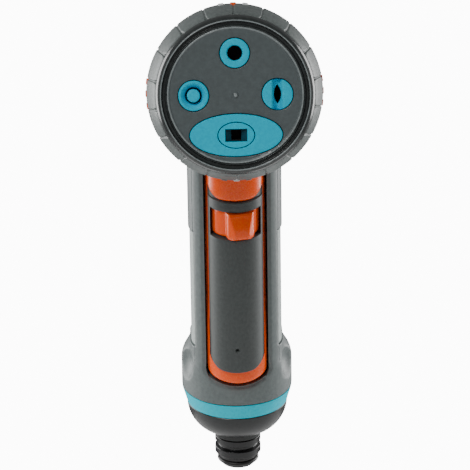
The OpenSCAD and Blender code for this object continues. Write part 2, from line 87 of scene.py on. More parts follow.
def local_box(node, place):
    """Lowest and highest corner of a CAD node in a working frame, in millimetres."""
    cad = frame["nodes"][node]
    into = place.inverted() @ cad.matrix_world
    points = [into @ vertex.co / MM for vertex in cad.data.vertices]
    low = Vector([min(point[axis] for point in points) for axis in range(3)])
    high = Vector([max(point[axis] for point in points) for axis in range(3)])
    return low, high


lean = math.asin(-joints["lock_turn"]["axis"][1])
spray_height = joints["head_turn"]["pos_m"][2] / MM
face_reach = -joints["head_turn"]["pos_m"][1] / MM

frame_low = local_box("front_frame", HANDLE)[0]
grip_low, grip_high = local_box("rear_grip", HANDLE)
base_low, base_high = local_box("base_ring", HANDLE)
cap_low = local_box("base_cap", HANDLE)[0]
lever_low, lever_high = local_box("trigger", HANDLE)
pad_low, pad_high = local_box("trigger_pad", HANDLE)
wheel_low, wheel_high = local_box("lock_wheel", HANDLE)
plate_high = local_box("face_plate", HEAD)[1]
ring_low = local_box("grip_ring", HEAD)[0]

# Section of the handle: a rounded box that is rounder at the back
HALF_W = grip_high.x + 0.5
FRONT = 20.0
BACK = grip_high.y + 0.5
FRONT_CORNER = 13.0
BACK_CORNER = 15.0
PARTING_Y = grip_low.y - 0.2
PARTING_TURN = math.asin((PARTING_Y + FRONT - FRONT_CORNER) / FRONT_CORNER)

# The bend between handle and neck
BEND_R = 26.0
bend_turn = math.pi / 2 - lean
bend_start = spray_height / math.cos(lean) - BEND_R * math.tan(bend_turn / 2)
neck_start = face_reach - spray_height * math.tan(lean) - BEND_R * math.tan(bend_turn / 2)
FLANGE_DEPTH = 30.8
bend_end = bend_start + BEND_R * bend_turn
limb_end = bend_end + neck_start - FLANGE_DEPTH

# Foot of the frame and the opening for the trigger
BELL_R = base_high.x
BELL_TOP = 47.5
SHOULDER_R = 10.0
RING_TOP = grip_low.z - 0.2
STEP_UP = grip_high.z + 0.2
OPENING_HALF = 12.65
OPENING_LOW = 44.2
OPENING_ARCH = 20.0
PIVOT_Y = -16.0
PAD_FLOOR = -17.5


# ---- Small tools ----

def smooth_max(a, b, width):
    """The larger of a and b, with the change between them rounded off over width."""
    part = max(width - abs(a - b), 0) / width
    return max(a, b) + part * part * width / 4


def ease(value, start, stop):
    """0 before start, 1 after stop and a smooth rise between them."""
    t = min(max((value - start) / (stop - start), 0), 1)
    return t * t * (3 - 2 * t)


def edge_drop(distance, radius):
    """How far a rounded edge falls below its surface at that distance from the edge."""
    if distance >= radius:
        return 0
    return radius - math.sqrt(radius * radius - (radius - max(distance, 0)) ** 2)


def spread(start, stop, step):
    """Values from start to stop, evenly spaced and at most step apart."""
    count = max(1, math.ceil(abs(stop - start) / step))
    return [start + (stop - start) * i / count for i in range(count + 1)]


def arch_rise(x, radius):
    """Height of a round arch's edge over its lowest point."""
    return radius - math.sqrt(radius * radius - x * x)


def foot_rise(x, half_w, arch, corner):
    """Height of a shallow arch's edge over its lowest point, with its two corners rounded off."""
    x = min(abs(x), half_w)
    beyond = max(x - (half_w - corner), 0)
    return arch_rise(x, arch) + arch_rise(min(beyond, corner * 0.999), corner)


def curve_through(stops):
    """A smooth function through (position, value) pairs."""
    def value(position):
        if position <= stops[0][0]:
            return stops[0][1]
        for (a, low), (b, high) in zip(stops, stops[1:]):
            if position <= b:
                return low + (high - low) * (position - a) / (b - a)
        return stops[-1][1]
    return value


def rounded(corners, closed=True, steps=6):
    """Points of an outline of (a, b, radius) corners, each corner rounded off."""
    points = []
    for i, (a, b, radius) in enumerate(corners):
        here = Vector((a, b))
        if radius == 0 or (not closed and i in (0, len(corners) - 1)):
            points.append(here)
            continue
        before = Vector(corners[i - 1][:2]) - here
        after = Vector(corners[(i + 1) % len(corners)][:2]) - here
        reach = radius / math.tan(before.angle(after) / 2)
        reach = min(reach, 0.48 * before.length, 0.48 * after.length)
        start = here + before.normalized() * reach
        stop = here + after.normalized() * reach
        for k in range(steps + 1):
            t = k / steps
            points.append(start * (1 - t) ** 2 + here * (2 * t * (1 - t)) + stop * t * t)
    return points


class Shape:
    """Points and faces in a working frame, gathered from patches that weld where they meet."""

    def __init__(self):
        self.points = []
        self.faces = []

    def grid(self, rows, close_rows=False, close_columns=False, keep=None):
        """Quads between rows of points. keep(row, column) says which quads to make."""
        base = len(self.points)
        width = len(rows[0])
        for row in rows:
            self.points.extend(Vector(point) for point in row)
        for i in range(len(rows) if close_rows else len(rows) - 1):
            for j in range(width if close_columns else width - 1):
                if keep and not keep(i, j):
                    continue
                below = base + i * width
                above = base + (i + 1) % len(rows) * width
                right = (j + 1) % width
                self.faces.append((below + j, below + right, above + right, above + j))

    def cap(self, loop):
        """One flat face over a loop of points."""
        base = len(self.points)
        self.points.extend(Vector(point) for point in loop)
        self.faces.append(tuple(range(base, base + len(loop))))

    def lathe(self, profile, steps=144, centre=(0, 0), closed=True):
        """A profile of (radius, height) turned about the frame's z at centre."""
        turns = [2 * math.pi * k / steps for k in range(steps)]
        x, y = centre
        rows = [[(x + r * math.cos(t), y + r * math.sin(t), z) for t in turns] for r, z in profile]
        self.grid(rows, close_rows=closed, close_columns=True)

    def loft(self, loops, cap_ends=False):
        """Walls between loops that have the same number of points."""
        self.grid(loops, close_columns=True)
        if cap_ends:
            self.cap(loops[0])
            self.cap(loops[-1])

    def object(self, name, place, material, body, nodes, slot, sharp=35):
        """The finished piece, riding on its CAD body in place of its CAD nodes."""
        mesh = bpy.data.meshes.new(name)
        bm = bmesh.new()
        vertices = [bm.verts.new(place @ (point * MM)) for point in self.points]
        for face in self.faces:
            corners = [vertices[i] for i in face]
            if len(set(corners)) > 2:
                bm.faces.new(corners)
        bmesh.ops.remove_doubles(bm, verts=bm.verts, dist=0.004 * MM)
        bmesh.ops.dissolve_degenerate(bm, edges=bm.edges, dist=0.002 * MM)
        loose = [vertex for vertex in bm.verts if not vertex.link_faces]
        bmesh.ops.delete(bm, geom=loose, context="VERTS")
        bmesh.ops.recalc_face_normals(bm, faces=bm.faces)
        bm.to_mesh(mesh)
        bm.free()
        mesh.shade_smooth()
        mesh.set_sharp_from_angle(angle=math.radians(sharp))
        mesh.materials.append(material)
        piece = bpy.data.objects.new(name, mesh)
        bpy.context.scene.collection.objects.link(piece)
        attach(piece, body)
        if nodes:
            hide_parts(*nodes)
        return piece


def paint_shade_inside(piece, material, depth):
    """Paints shade into a recess: the faces deeper than depth behind the face plate get a second, darker
    material.
    """
    piece.data.materials.append(material)
    into = HEAD.inverted()
    for face in piece.data.polygons:
        if (into @ face.center).z > depth * MM:
            face.material_index = 1


def paint_highlight_band(piece, material, inner, outer, depth):
    """Gives the faces between two distances from the head's axis, down to depth, another material: here a
    lighter one that paints highlight rings.
    """
    piece.data.materials.append(material)
    into = HEAD.inverted()
    slot = len(piece.data.materials) - 1
    for face in piece.data.polygons:
        middle = into @ face.center / MM
        if inner < middle.xy.length < outer and middle.z < depth:
            face.material_index = slot


# ---- Materials ----

def linear(red, green, blue):
    """A colour given as 0 to 255 on screen, as Blender's linear numbers."""
    def channel(value):
        value /= 255
        return value / 12.92 if value <= 0.04045 else ((value + 0.055) / 1.055) ** 2.4
    return (channel(red), channel(green), channel(blue), 1)


def moulded(name, dark, light, rough, grain=2600, depth=0.02, mottle=260, rub_and_sheen=0.0, metal=0.0, specular=0.5):
    """Moulded plastic: mottled colour, a fine moulded grain, uneven gloss and sharp edges lighter, partly
    rubbed wear and partly a painted edge highlight.

    rough is the (lowest, highest) roughness, grain and mottle are in waves per metre, depth is in
    millimetres.
    """
    material = bpy.data.materials.new(name)
    material.use_nodes = True
    nodes = material.node_tree.nodes
    links = material.node_tree.links
    shader = nodes["Principled BSDF"]
    shader.inputs["Metallic"].default_value = metal
    shader.inputs["Specular IOR Level"].default_value = specular
    place = nodes.new("ShaderNodeTexCoord")

    def noise(scale, detail):
        node = nodes.new("ShaderNodeTexNoise")
        node.inputs["Scale"].default_value = scale
        node.inputs["Detail"].default_value = detail
        links.new(place.outputs["Object"], node.inputs["Vector"])
        return node

    patches = noise(mottle, 5)
    tint = nodes.new("ShaderNodeValToRGB")
    tint.color_ramp.elements[0].position = 0.35
    tint.color_ramp.elements[0].color = dark
    tint.color_ramp.elements[1].position = 0.68
    tint.color_ramp.elements[1].color = light
    source = patches.outputs["Fac"]
    # sharp edges painted lighter: partly rubbed wear, partly a painted highlight where light catches them
    if rub_and_sheen:
        edges = nodes.new("ShaderNodeNewGeometry")
        rubbed_and_lit = nodes.new("ShaderNodeMapRange")
        rubbed_and_lit.inputs["From Min"].default_value = 0.52
        rubbed_and_lit.inputs["From Max"].default_value = 0.62
        rubbed_and_lit.inputs["To Max"].default_value = rub_and_sheen
        links.new(edges.outputs["Pointiness"], rubbed_and_lit.inputs["Value"])
        total = nodes.new("ShaderNodeMath")
        total.operation = "ADD"
        links.new(source, total.inputs[0])
        links.new(rubbed_and_lit.outputs["Result"], total.inputs[1])
        source = total.outputs["Value"]
    links.new(source, tint.inputs["Fac"])
    links.new(tint.outputs["Color"], shader.inputs["Base Color"])

    gloss = nodes.new("ShaderNodeMapRange")
    gloss.inputs["To Min"].default_value = rough[0]
    gloss.inputs["To Max"].default_value = rough[1]
    links.new(noise(mottle * 3, 4).outputs["Fac"], gloss.inputs["Value"])
    links.new(gloss.outputs["Result"], shader.inputs["Roughness"])

    bump = nodes.new("ShaderNodeBump")
    bump.inputs["Strength"].default_value = 0.6
    bump.inputs["Distance"].default_value = depth * MM
    links.new(noise(grain, 3).outputs["Fac"], bump.inputs["Height"])
    links.new(bump.outputs["Normal"], shader.inputs["Normal"])
    return material


SHELL = moulded("shell_plastic", linear(92, 100, 100), linear(101, 110, 109), (0.4, 0.5), 3000, 0.02, 700,
                rub_and_sheen=0.3)
SOFT = moulded("soft_grip_rubber", linear(168, 177, 174), linear(184, 193, 190), (0.55, 0.7), 1500, 0.06,
               700, rub_and_sheen=0.1)
RING = moulded("ring_rubber", linear(84, 91, 90), linear(104, 112, 110), (0.38, 0.5), 1300, 0.07, 900,
               rub_and_sheen=0.6)
DARK = moulded("dark_plastic", linear(23, 26, 26), linear(30, 34, 33), (0.26, 0.38), 3000, 0.015, 700,
               rub_and_sheen=0.5)
FACE = moulded("face_plastic", linear(82, 90, 91), linear(89, 97, 98), (0.34, 0.42), 3000, 0.015, 600,
               rub_and_sheen=0.3)
CYAN = moulded("cyan_plastic", (0.0, 0.5, 0.72, 1), (0.0, 0.56, 0.78, 1), (0.4, 0.5), 3000, 0.01, 900,
               rub_and_sheen=0.3, specular=0.08)
BASE = moulded("base_ring_plastic", (0.0, 0.52, 0.66, 1), (0.0, 0.58, 0.72, 1), (0.4, 0.5), 3000, 0.01, 900,
               rub_and_sheen=0.2, specular=0.08)
# painted shade and painted shadow: dark plastics laid in the inserts' deep hollows, where shade falls
RECESS_SHADE = moulded("funnel_painted_shade", (0.0, 0.05, 0.08, 1), (0.0, 0.065, 0.1, 1), (0.4, 0.5), 3000, 0.01, 900)
BORE_SHADOW = moulded("bore_painted_shadow", (0.001, 0.002, 0.003, 1), (0.002, 0.003, 0.004, 1), (0.6, 0.7), 3000, 0.01, 900)
ORANGE = moulded("orange_plastic", (1.0, 0.08, 0.0, 1), (1.0, 0.105, 0.0, 1), (0.22, 0.32), 3000, 0.01, 900,
                 rub_and_sheen=0.2, specular=0.35)
PAD = moulded("pad_rubber", linear(60, 65, 64), linear(67, 72, 71), (0.5, 0.62), 1800, 0.03, 800)
PLUG = moulded("plug_plastic", linear(12, 13, 14), linear(17, 18, 19), (0.2, 0.32), 3000, 0.01, 700, rub_and_sheen=0.4)
BEZEL = moulded("bezel_plastic", linear(40, 44, 44), linear(50, 54, 54), (0.2, 0.3), 3000, 0.01, 700,
                rub_and_sheen=0.6)
# painted highlight: a light plastic for thin rings that stand in for glints of light
PAINTED_HIGHLIGHT = moulded("painted_highlight_edge", linear(126, 134, 134), linear(146, 154, 154), (0.2, 0.3), 3000, 0.01, 700)
SEAL = moulded("seal_rubber", linear(8, 8, 9), linear(14, 14, 15), (0.4, 0.5))
STEEL = moulded("steel", linear(170, 172, 176), linear(196, 198, 202), (0.2, 0.35), 5000, 0.005, metal=1.0)
TUBE = moulded("tube_plastic", linear(206, 208, 206), linear(222, 224, 221), (0.4, 0.5))
CORE = moulded("core_plastic", linear(70, 73, 73), linear(88, 91, 91), (0.45, 0.6))
WHITE = moulded("mark_white", linear(214, 218, 216), linear(228, 231, 229), (0.4, 0.5))


# ---- The handle's surface ----

CORNER_X = HALF_W - FRONT_CORNER
BACK_X = HALF_W - BACK_CORNER
FRONT_CORNER_Y = FRONT_CORNER - FRONT
BACK_CORNER_Y = BACK - BACK_CORNER
arc_starts = [0, CORNER_X]
arc_starts.append(arc_starts[-1] + FRONT_CORNER * math.pi / 2)
arc_starts.append(arc_starts[-1] + BACK_CORNER_Y - FRONT_CORNER_Y)
arc_starts.append(arc_starts[-1] + BACK_CORNER * math.pi / 2)
HALF_GIRTH = arc_starts[-1] + BACK_X
PARTING_AT = CORNER_X + FRONT_CORNER * (math.pi / 2 - abs(PARTING_TURN))
EDGE_AT = CORNER_X + FRONT_CORNER * math.asin((OPENING_HALF - CORNER_X) / FRONT_CORNER)


def round_handle(at, offset=0.0):
    """Point (x, y) of the handle's section, at millimetres round from its front middle, moved out."""
    side = -1 if at < 0 else 1
    at = abs(at)
    if at < arc_starts[1]:
        x, y, radius, turn = at, FRONT_CORNER_Y, FRONT_CORNER, -math.pi / 2
    elif at < arc_starts[2]:
        x, y, radius = CORNER_X, FRONT_CORNER_Y, FRONT_CORNER
        turn = -math.pi / 2 + (at - arc_starts[1]) / FRONT_CORNER
    elif at < arc_starts[3]:
        x, y, radius, turn = CORNER_X, FRONT_CORNER_Y + at - arc_starts[2], FRONT_CORNER, 0
    elif at < arc_starts[4]:
        x, y, radius, turn = BACK_X, BACK_CORNER_Y, BACK_CORNER, (at - arc_starts[3]) / BACK_CORNER
    else:
        x, y, radius, turn = max(HALF_GIRTH - at, 0), BACK_CORNER_Y, BACK_CORNER, math.pi / 2
    reach = radius + offset
    return Vector((side * (x + reach * math.cos(turn)), y + reach * math.sin(turn)))


def along_limb(point, travel):
    """A point of a section carried up the handle, round the bend and along the neck."""
    x, y = point
    if travel <= bend_start:
        return Vector((x, y, travel))
    turn = min((travel - bend_start) / BEND_R, bend_turn)
    reach = BEND_R + y
    ahead = max(travel - bend_end, 0)
    return Vector((x, -BEND_R + reach * math.cos(turn) - ahead * math.sin(turn),
                   bend_start + reach * math.sin(turn) + ahead * math.cos(turn)))


def swell_to(point, radius, width):
    """A section's point pushed out smoothly to at least radius from the axis."""
    distance = point.length
    return point * (smooth_max(distance, radius, width) / distance)


# ---- Body ----

def body_shell():
    shape = Shape()
    seat = -1.75
    depth_of = curve_through([(RING_TOP - 1.5, seat), (STEP_UP - 0.05, seat), (STEP_UP, -0.3),
                              (STEP_UP + 0.12, -0.1), (STEP_UP + 0.4, 0.0), (limb_end, 0.0)])
    flare_start = limb_end - 14
    flare = curve_through([(flare_start, 10), (limb_end - 9, 18.6), (limb_end - 4.5, 21.4),
                           (limb_end - 2.4, 24), (limb_end - 0.5, 24), (limb_end, 23.6)])
    travels = spread(RING_TOP - 1.5, STEP_UP - 0.05, 4) + [STEP_UP, STEP_UP + 0.12, STEP_UP + 0.4]
    travels += spread(STEP_UP + 1, bend_start, 2)[:-1] + spread(bend_start, bend_end, 1.6)[:-1]
    travels += spread(bend_end, limb_end - 2.4, 0.7) + spread(limb_end - 2, limb_end, 0.4)
    back = [PARTING_AT, PARTING_AT + 0.12, PARTING_AT + 0.35]
    back += spread(PARTING_AT + 1, 2 * HALF_GIRTH - PARTING_AT - 1, 1.4)
    back += [2 * HALF_GIRTH - PARTING_AT - 0.35, 2 * HALF_GIRTH - PARTING_AT - 0.12]
    front = spread(2 * HALF_GIRTH - PARTING_AT, 2 * HALF_GIRTH + PARTING_AT, 1.4)[:-1]
    ats = [at if at <= HALF_GIRTH else at - 2 * HALF_GIRTH for at in back + front]

    def wall(inset):
        rows = []
        for travel in travels:
            row = []
            for at in ats:
                depth = depth_of(travel)
                if travel < bend_start:
                    depth -= edge_drop(abs(at) - PARTING_AT, 0.12)
                point = round_handle(at, depth - inset)
                if travel > flare_start:
                    point = swell_to(point, flare(travel) - inset, 3)
                row.append(along_limb(point, travel))
            rows.append(row)
        return rows

    def kept(i, j):
        return j < len(back) or travels[i] >= bend_start - 0.01

    outer = wall(0)
    inner = wall(1.5)
    shape.grid(outer, close_columns=True, keep=kept)
    shape.grid(inner, close_columns=True, keep=kept)
    shape.grid([outer[0][:len(back) + 1], inner[0][:len(back) + 1]])
    shape.grid([outer[-1], inner[-1]], close_columns=True)
    first_full = next(i for i, travel in enumerate(travels) if travel >= bend_start - 0.01)
    for j in (0, len(back)):
        shape.grid([[row[j] for row in outer[:first_full + 1]], [row[j] for row in inner[:first_full + 1]]])
    front_columns = list(range(len(back), len(ats))) + [0]
    shape.grid([[outer[first_full][j] for j in front_columns], [inner[first_full][j] for j in front_columns]])
    return shape.object("body_shell_skin", HANDLE, SHELL, "gun", ["body_shell"], "shell")


def back_surface(x):
    """The y of the handle's back at that x."""
    beyond = max(abs(x) - BACK_X, 0)
    return BACK_CORNER_Y + math.sqrt(BACK_CORNER ** 2 - beyond ** 2)


SCREW_HEAD_R = 1.8
SCREW_HEAD_H = 1.8
WELL_R = 1.9


def screw_bosses():
    """Tubes that carry the body screws inside the shell, open to the back."""
    low, high = local_box("body_screws", HANDLE)
    tubes = Shape()
    seat = high.y - SCREW_HEAD_H
    for x in (low.x + SCREW_HEAD_R, high.x - SCREW_HEAD_R):
        for z in (low.z + SCREW_HEAD_R, high.z - SCREW_HEAD_R):
            rows = []
            for radius, y in ((0.95, PARTING_Y + 0.1), (0.95, seat), (WELL_R, seat), (WELL_R, None),
                              (2.8, None), (2.8, seat), (1.7, seat - 1), (1.7, PARTING_Y + 0.1)):
                row = []
                for turn in spread(0, 2 * math.pi, 0.2)[:-1]:
                    across = x + radius * math.cos(turn)
                    back = back_surface(across) - 0.1 if y is None else y
                    row.append((across, back, z + radius * math.sin(turn)))
                rows.append(row)
            tubes.grid(rows, close_rows=True, close_columns=True)
    tubes.object("screw_bosses", HANDLE, SHELL, "gun", ["body_shell"], "shell")


def bore_screw_wells(shell):
    """Deep wells for the body screws, sunk from the back of the shell."""
    low, high = local_box("body_screws", HANDLE)
    past_back = 40
    turns = spread(0, 2 * math.pi, 0.2)[:-1]
    wells = Shape()
    for x in (low.x + SCREW_HEAD_R, high.x - SCREW_HEAD_R):
        for z in (low.z + SCREW_HEAD_R, high.z - SCREW_HEAD_R):
            ring = [(x + WELL_R * math.cos(t), z + WELL_R * math.sin(t)) for t in turns]
            wells.loft([[(px, y, pz) for px, pz in ring] for y in (high.y - SCREW_HEAD_H, past_back)],
                       cap_ends=True)
    cutter = wells.object("well_cutter", HANDLE, SHELL, "gun", [], "shell")
    cut = shell.modifiers.new("wells", "BOOLEAN")
    cut.operation = "DIFFERENCE"
    cut.solver = "EXACT"
    cut.object = cutter
    bpy.context.view_layer.update()
    seen = bpy.context.evaluated_depsgraph_get()
    baked = bpy.data.meshes.new_from_object(shell.evaluated_get(seen))
    shell.modifiers.clear()
    shell.data = baked
    bpy.data.objects.remove(cutter, do_unlink=True)


def front_frame():
    shape = Shape()
    bell_low = frame_low.z
    lip_w = 1.5
    lip_d = 0.6
    corner_r = 2.0
    corner_up = OPENING_LOW + foot_rise(OPENING_HALF, OPENING_HALF, OPENING_ARCH, corner_r)
    shoulder = [(BELL_TOP + rise, BELL_R - arch_rise(rise, SHOULDER_R)) for rise in spread(0.5, 9.5, 0.5)]
    bell = curve_through([(bell_low, BELL_R), (BELL_TOP, BELL_R)] + shoulder
                         + [(BELL_TOP + SHOULDER_R, 8.0)])
    scoop_x, scoop_y, scoop_z, scoop_r = BELL_R + 6.2, -10.3, 49.0, 11.0

    def surface(at, z):
        flat = round_handle(at)
        point = swell_to(flat, bell(z), 1.6) if z < BELL_TOP + SHOULDER_R + 2 else flat
        # thumb scoop: the point moves in along its ray until it lies on the scoop's sphere
        centre = Vector((math.copysign(scoop_x, point.x), scoop_y, scoop_z))
        ray = Vector((point.x, point.y, 0)).normalized()
        gap = Vector((0, 0, z)) - centre
        along = ray.dot(gap)
        inside = along * along - gap.length_squared + scoop_r * scoop_r
        if inside > 0:
            sphere = -along - math.sqrt(inside)
            length = -smooth_max(-point.length, -sphere, 0.5)
            point = point * (length / point.length)
        return point

    def from_opening(at, z):
        """Distance from the opening's edge."""
        x = abs(at) * OPENING_HALF / EDGE_AT
        if z >= corner_up:
            return abs(at) - EDGE_AT
        under = OPENING_LOW + foot_rise(x, OPENING_HALF, OPENING_ARCH, corner_r) - z
        beside = max(x - OPENING_HALF, 0)
        if x > OPENING_HALF - corner_r:
            return math.hypot(x - OPENING_HALF + corner_r, corner_up - z) - corner_r
        return max(under, 0) * 0.9 + beside

    def drop(at, z):
        lip = lip_d * (1 - ease(from_opening(at, z), 0.1, lip_w)) if from_opening(at, z) < lip_w else 0
        rim = edge_drop(z - bell_low, 0.5)
        seam = 0
        if z > RING_TOP:
            seam = (0.5 if z < STEP_UP else 0.1) * (1 - ease(PARTING_AT - abs(at), 0.1, 1.1))
        elif abs(at) > PARTING_AT:
            seam = edge_drop(RING_TOP - z, 0.35)
        return lip + rim + seam

    def place(at, z):
        point = surface(at, z)
        inward = drop(at, z)
        if inward:
            point = point * (1 - inward / point.length)
        return Vector((point.x, point.y, z))

    side = [EDGE_AT + step for step in (0, 0.15, 0.4, 0.8, 1.2, 1.5, 1.8)]
    side += spread(EDGE_AT + 2.4, PARTING_AT - 0.7, 0.7) + [PARTING_AT - 0.35, PARTING_AT - 0.12, PARTING_AT]
    around = spread(PARTING_AT + 0.7, 2 * HALF_GIRTH - PARTING_AT - 0.7, 0.7)
    middle = spread(-EDGE_AT, EDGE_AT, 0.45)[1:-1]
    ats = side + [at if at <= HALF_GIRTH else at - 2 * HALF_GIRTH for at in around]
    ats += [-at for at in reversed(side)] + middle
    side_count = len(side)
    first_middle = len(ats) - len(middle)

    low_share = [0, 0.015, 0.04] + spread(0.08, 0.84, 0.05) + [0.88, 0.92, 0.95, 0.97, 0.985, 1]
    heights = spread(corner_up + 0.6, RING_TOP - 0.7, 0.7) + [RING_TOP - 0.35, RING_TOP - 0.1, RING_TOP]
    ring_row = len(low_share) + len(heights) - 1
    heights += spread(RING_TOP + 1, bend_start, 1.6)
    rows = []
    for share in low_share:
        row = []
        for at in ats:
            x = abs(at) * OPENING_HALF / EDGE_AT
            top = corner_up
            if abs(at) < EDGE_AT:
                top = OPENING_LOW + foot_rise(x, OPENING_HALF, OPENING_ARCH, corner_r)
            row.append(place(at, bell_low + (top - bell_low) * share))
        rows.append(row)
    rows += [[place(at, z) for at in ats] for z in heights]
    last_low = len(low_share) - 1

    def kept(i, j):
        in_middle = j >= first_middle - 1
        in_leg = j < side_count - 1 or first_middle - side_count <= j < first_middle - 1
        if in_middle:
            return i < last_low
        return i < ring_row or in_leg

    shape.grid(rows, close_columns=True, keep=kept)
    # the opening's wall, going back from its edge
    left_leg = [rows[i][first_middle - 1] for i in range(len(rows) - 1, last_low, -1)]
    arch = [rows[last_low][j] for j in range(first_middle - 1, len(ats))] + [rows[last_low][0]]
    right_leg = [rows[i][0] for i in range(last_low + 1, len(rows))]
    edge = left_leg + arch + right_leg
    shape.grid([[point + Vector((0, back, 0)) for point in edge] for back in (0, 0.15, 1.2, 2.4, 3.4)])
    # the frame's back faces along the legs, and the underside of the bell
    for column, inner in ((side_count - 1, right_leg), (first_middle - side_count, left_leg[::-1])):
        outline = [rows[i][column] for i in range(last_low + 1, len(rows))]
        shape.grid([outline, [Vector((p.x, p.y + 3.4, p.z)) for p in inner]])
    shape.grid([rows[0], [Vector((p.x * 0.8, p.y * 0.8, p.z)) for p in rows[0]]], close_columns=True)
    top_ring = [rows[ring_row][j] for j in range(side_count - 1, first_middle - side_count + 1)]
    shape.grid([top_ring, [Vector((p.x * 0.85, p.y * 0.85, p.z)) for p in top_ring]])
    return shape.object("front_frame_skin", HANDLE, SHELL, "gun", ["front_frame"], "shell")


def rear_grip():
    shape = Shape()
    low, high = grip_low.z, grip_high.z
    start = PARTING_AT + 0.2
    stop = 2 * HALF_GIRTH - start
    edge = [0, 0.1, 0.3, 0.6]
    rows_at = [low + d for d in edge] + spread(low + 1.4, high - 1.4, 1.6)
    rows_at += [high - d for d in reversed(edge)]
    ats = [start + d for d in edge] + spread(start + 1.2, stop - 1.2, 1) + [stop - d for d in reversed(edge)]

    def wall(offset, radius):
        rows = []
        for z in rows_at:
            row = []
            for at in ats:
                drop = edge_drop(min(at - start, stop - at), radius)
                drop += edge_drop(min(z - low, high - z), radius)
                round_at = at if at <= HALF_GIRTH else at - 2 * HALF_GIRTH
                point = round_handle(round_at, offset - min(drop, radius))
                row.append(Vector((point.x, point.y, z)))
            rows.append(row)
        return rows

    outer = wall(-0.5, 0.6)
    inner = wall(-1.7, 0)
    shape.grid(outer)
    shape.grid(inner)
    for pick in (0, -1):
        shape.grid([outer[pick], inner[pick]])
        shape.grid([[row[pick] for row in outer], [row[pick] for row in inner]])
    return shape.object("rear_grip_skin", HANDLE, SOFT, "gun", ["rear_grip"], "soft_grip")


# ---- Base ----

def base():
    ring = Shape()
    ring_top = base_high.z - 0.3
    ring.lathe(rounded([(17, base_low.z, 0), (20.1, base_low.z, 0.35), (BELL_R - 0.05, ring_top, 0.25),
                        (17, ring_top, 0)]))
    ring.object("base_ring_skin", HANDLE, BASE, "gun", ["base_ring"], "base_ring")

    cap = Shape()
    bowl_r = 13.5
    bowl_x = 20.05 - bowl_r
    bowl = [(bowl_x + bowl_r * math.cos(t), base_low.z - bowl_r * math.sin(t))
            for t in spread(0.03, 1.38, 0.06)]
    lip = [bowl[-1] + (0,), (9.4, cap_low.z + 0.2, 0.5), (9.0, cap_low.z + 0.5, 0)]
    cap.lathe([(17, base_low.z + 0.3), (19.7, base_low.z)] + bowl + rounded(lip, closed=False)
              + [(8.2, cap_low.z + 0.6), (8.2, base_low.z - 1)])
    cap.object("base_cap_skin", HANDLE, DARK, "gun", ["base_cap"], "dark_plastic")

    plug = Shape()
    collar = local_box("hose_plug", HANDLE)[1].x
    collar_r = 9.2
    plug.lathe(rounded([(5.2, 0, 0.5), (6.6, 0, 0.8), (6.8, 1.35, 0.15), (6.5, 1.35, 0.1), (6.5, 3.45, 0.1),
                        (7.7, 3.45, 0.25), (7.7, 4.7, 0.2), (8.2, 4.8, 0.2), (collar_r, 5.5, 0.35),
                        (collar_r, 8.2, 0.35), (7.9, 8.9, 0.3), (7.9, 9.9, 0.3), (collar_r, 10.6, 0.35),
                        (collar_r, cap_low.z - 0.3, 0.3), (8.4, cap_low.z, 0.1), (8, 22, 0),
                        (min(collar, 11.5), 22, 0.2), (11.5, 24, 0.2), (6, 24, 0), (6, 28, 0.3),
                        (4.62, 28, 0), (4.62, 25, 0), (3, 25, 0),
                        (3, 16.6, 0), (5.2, 16.6, 0)]))
    plug.object("hose_plug_turned", HANDLE, PLUG, "gun", ["hose_plug"], "plug")

    ring_seal = Shape()
    cord_r, cord_x, cord_up = 0.88, 7.45, 2.4
    ring_seal.lathe([(cord_x + cord_r * math.cos(t), cord_up + cord_r * math.sin(t))
                     for t in spread(0, 2 * math.pi, 0.4)[:-1]])
    ring_seal.object("plug_o_ring_turned", HANDLE, SEAL, "gun", ["plug_o_ring"], "seal")


# ---- Turning head ----

STATION_R = 15.45


def station(turn):
    """Middle of a spray pattern, turn degrees round from the top."""
    angle = math.radians(turn)
    return Vector((STATION_R * math.sin(angle), -STATION_R * math.cos(angle)))


def circle(radius, centre=(0, 0), count=96):
    return [Vector((centre[0] + radius * math.cos(2 * math.pi * k / count),
                    centre[1] + radius * math.sin(2 * math.pi * k / count))) for k in range(count)]


def ellipse(width, height, centre=(0, 0), grow=0.0, count=96):
    """An ellipse, drawn out by grow along its normals."""
    points = []
    for k in range(count):
        t = 2 * math.pi * k / count
        a, b = width / 2, height / 2
        normal = Vector((b * math.cos(t), a * math.sin(t))).normalized()
        points.append(Vector((centre[0] + a * math.cos(t), centre[1] + b * math.sin(t))) + normal * grow)
    return points


def level(loop, depth):
    return [(point[0], point[1], depth) for point in loop]


FACE_R = plate_high.x
OVAL_W, OVAL_H, OVAL_DROP = 34.2, 15.6, 14.8
JET_R, CONE_R, FLAT_R = 5.45, 5.6, 5.7
GAP = 0.25
JET, FLAT, CONE = station(0), station(90), station(270)
ROUND_INSERTS = ((JET, JET_R), (FLAT, FLAT_R), (CONE, CONE_R))
OVAL = Vector((0, OVAL_DROP))


def dish(point):
    """Depth of the slightly hollow face plate."""
    return 0.45 * (1 - (Vector(point[:2]).length / FACE_R) ** 2)


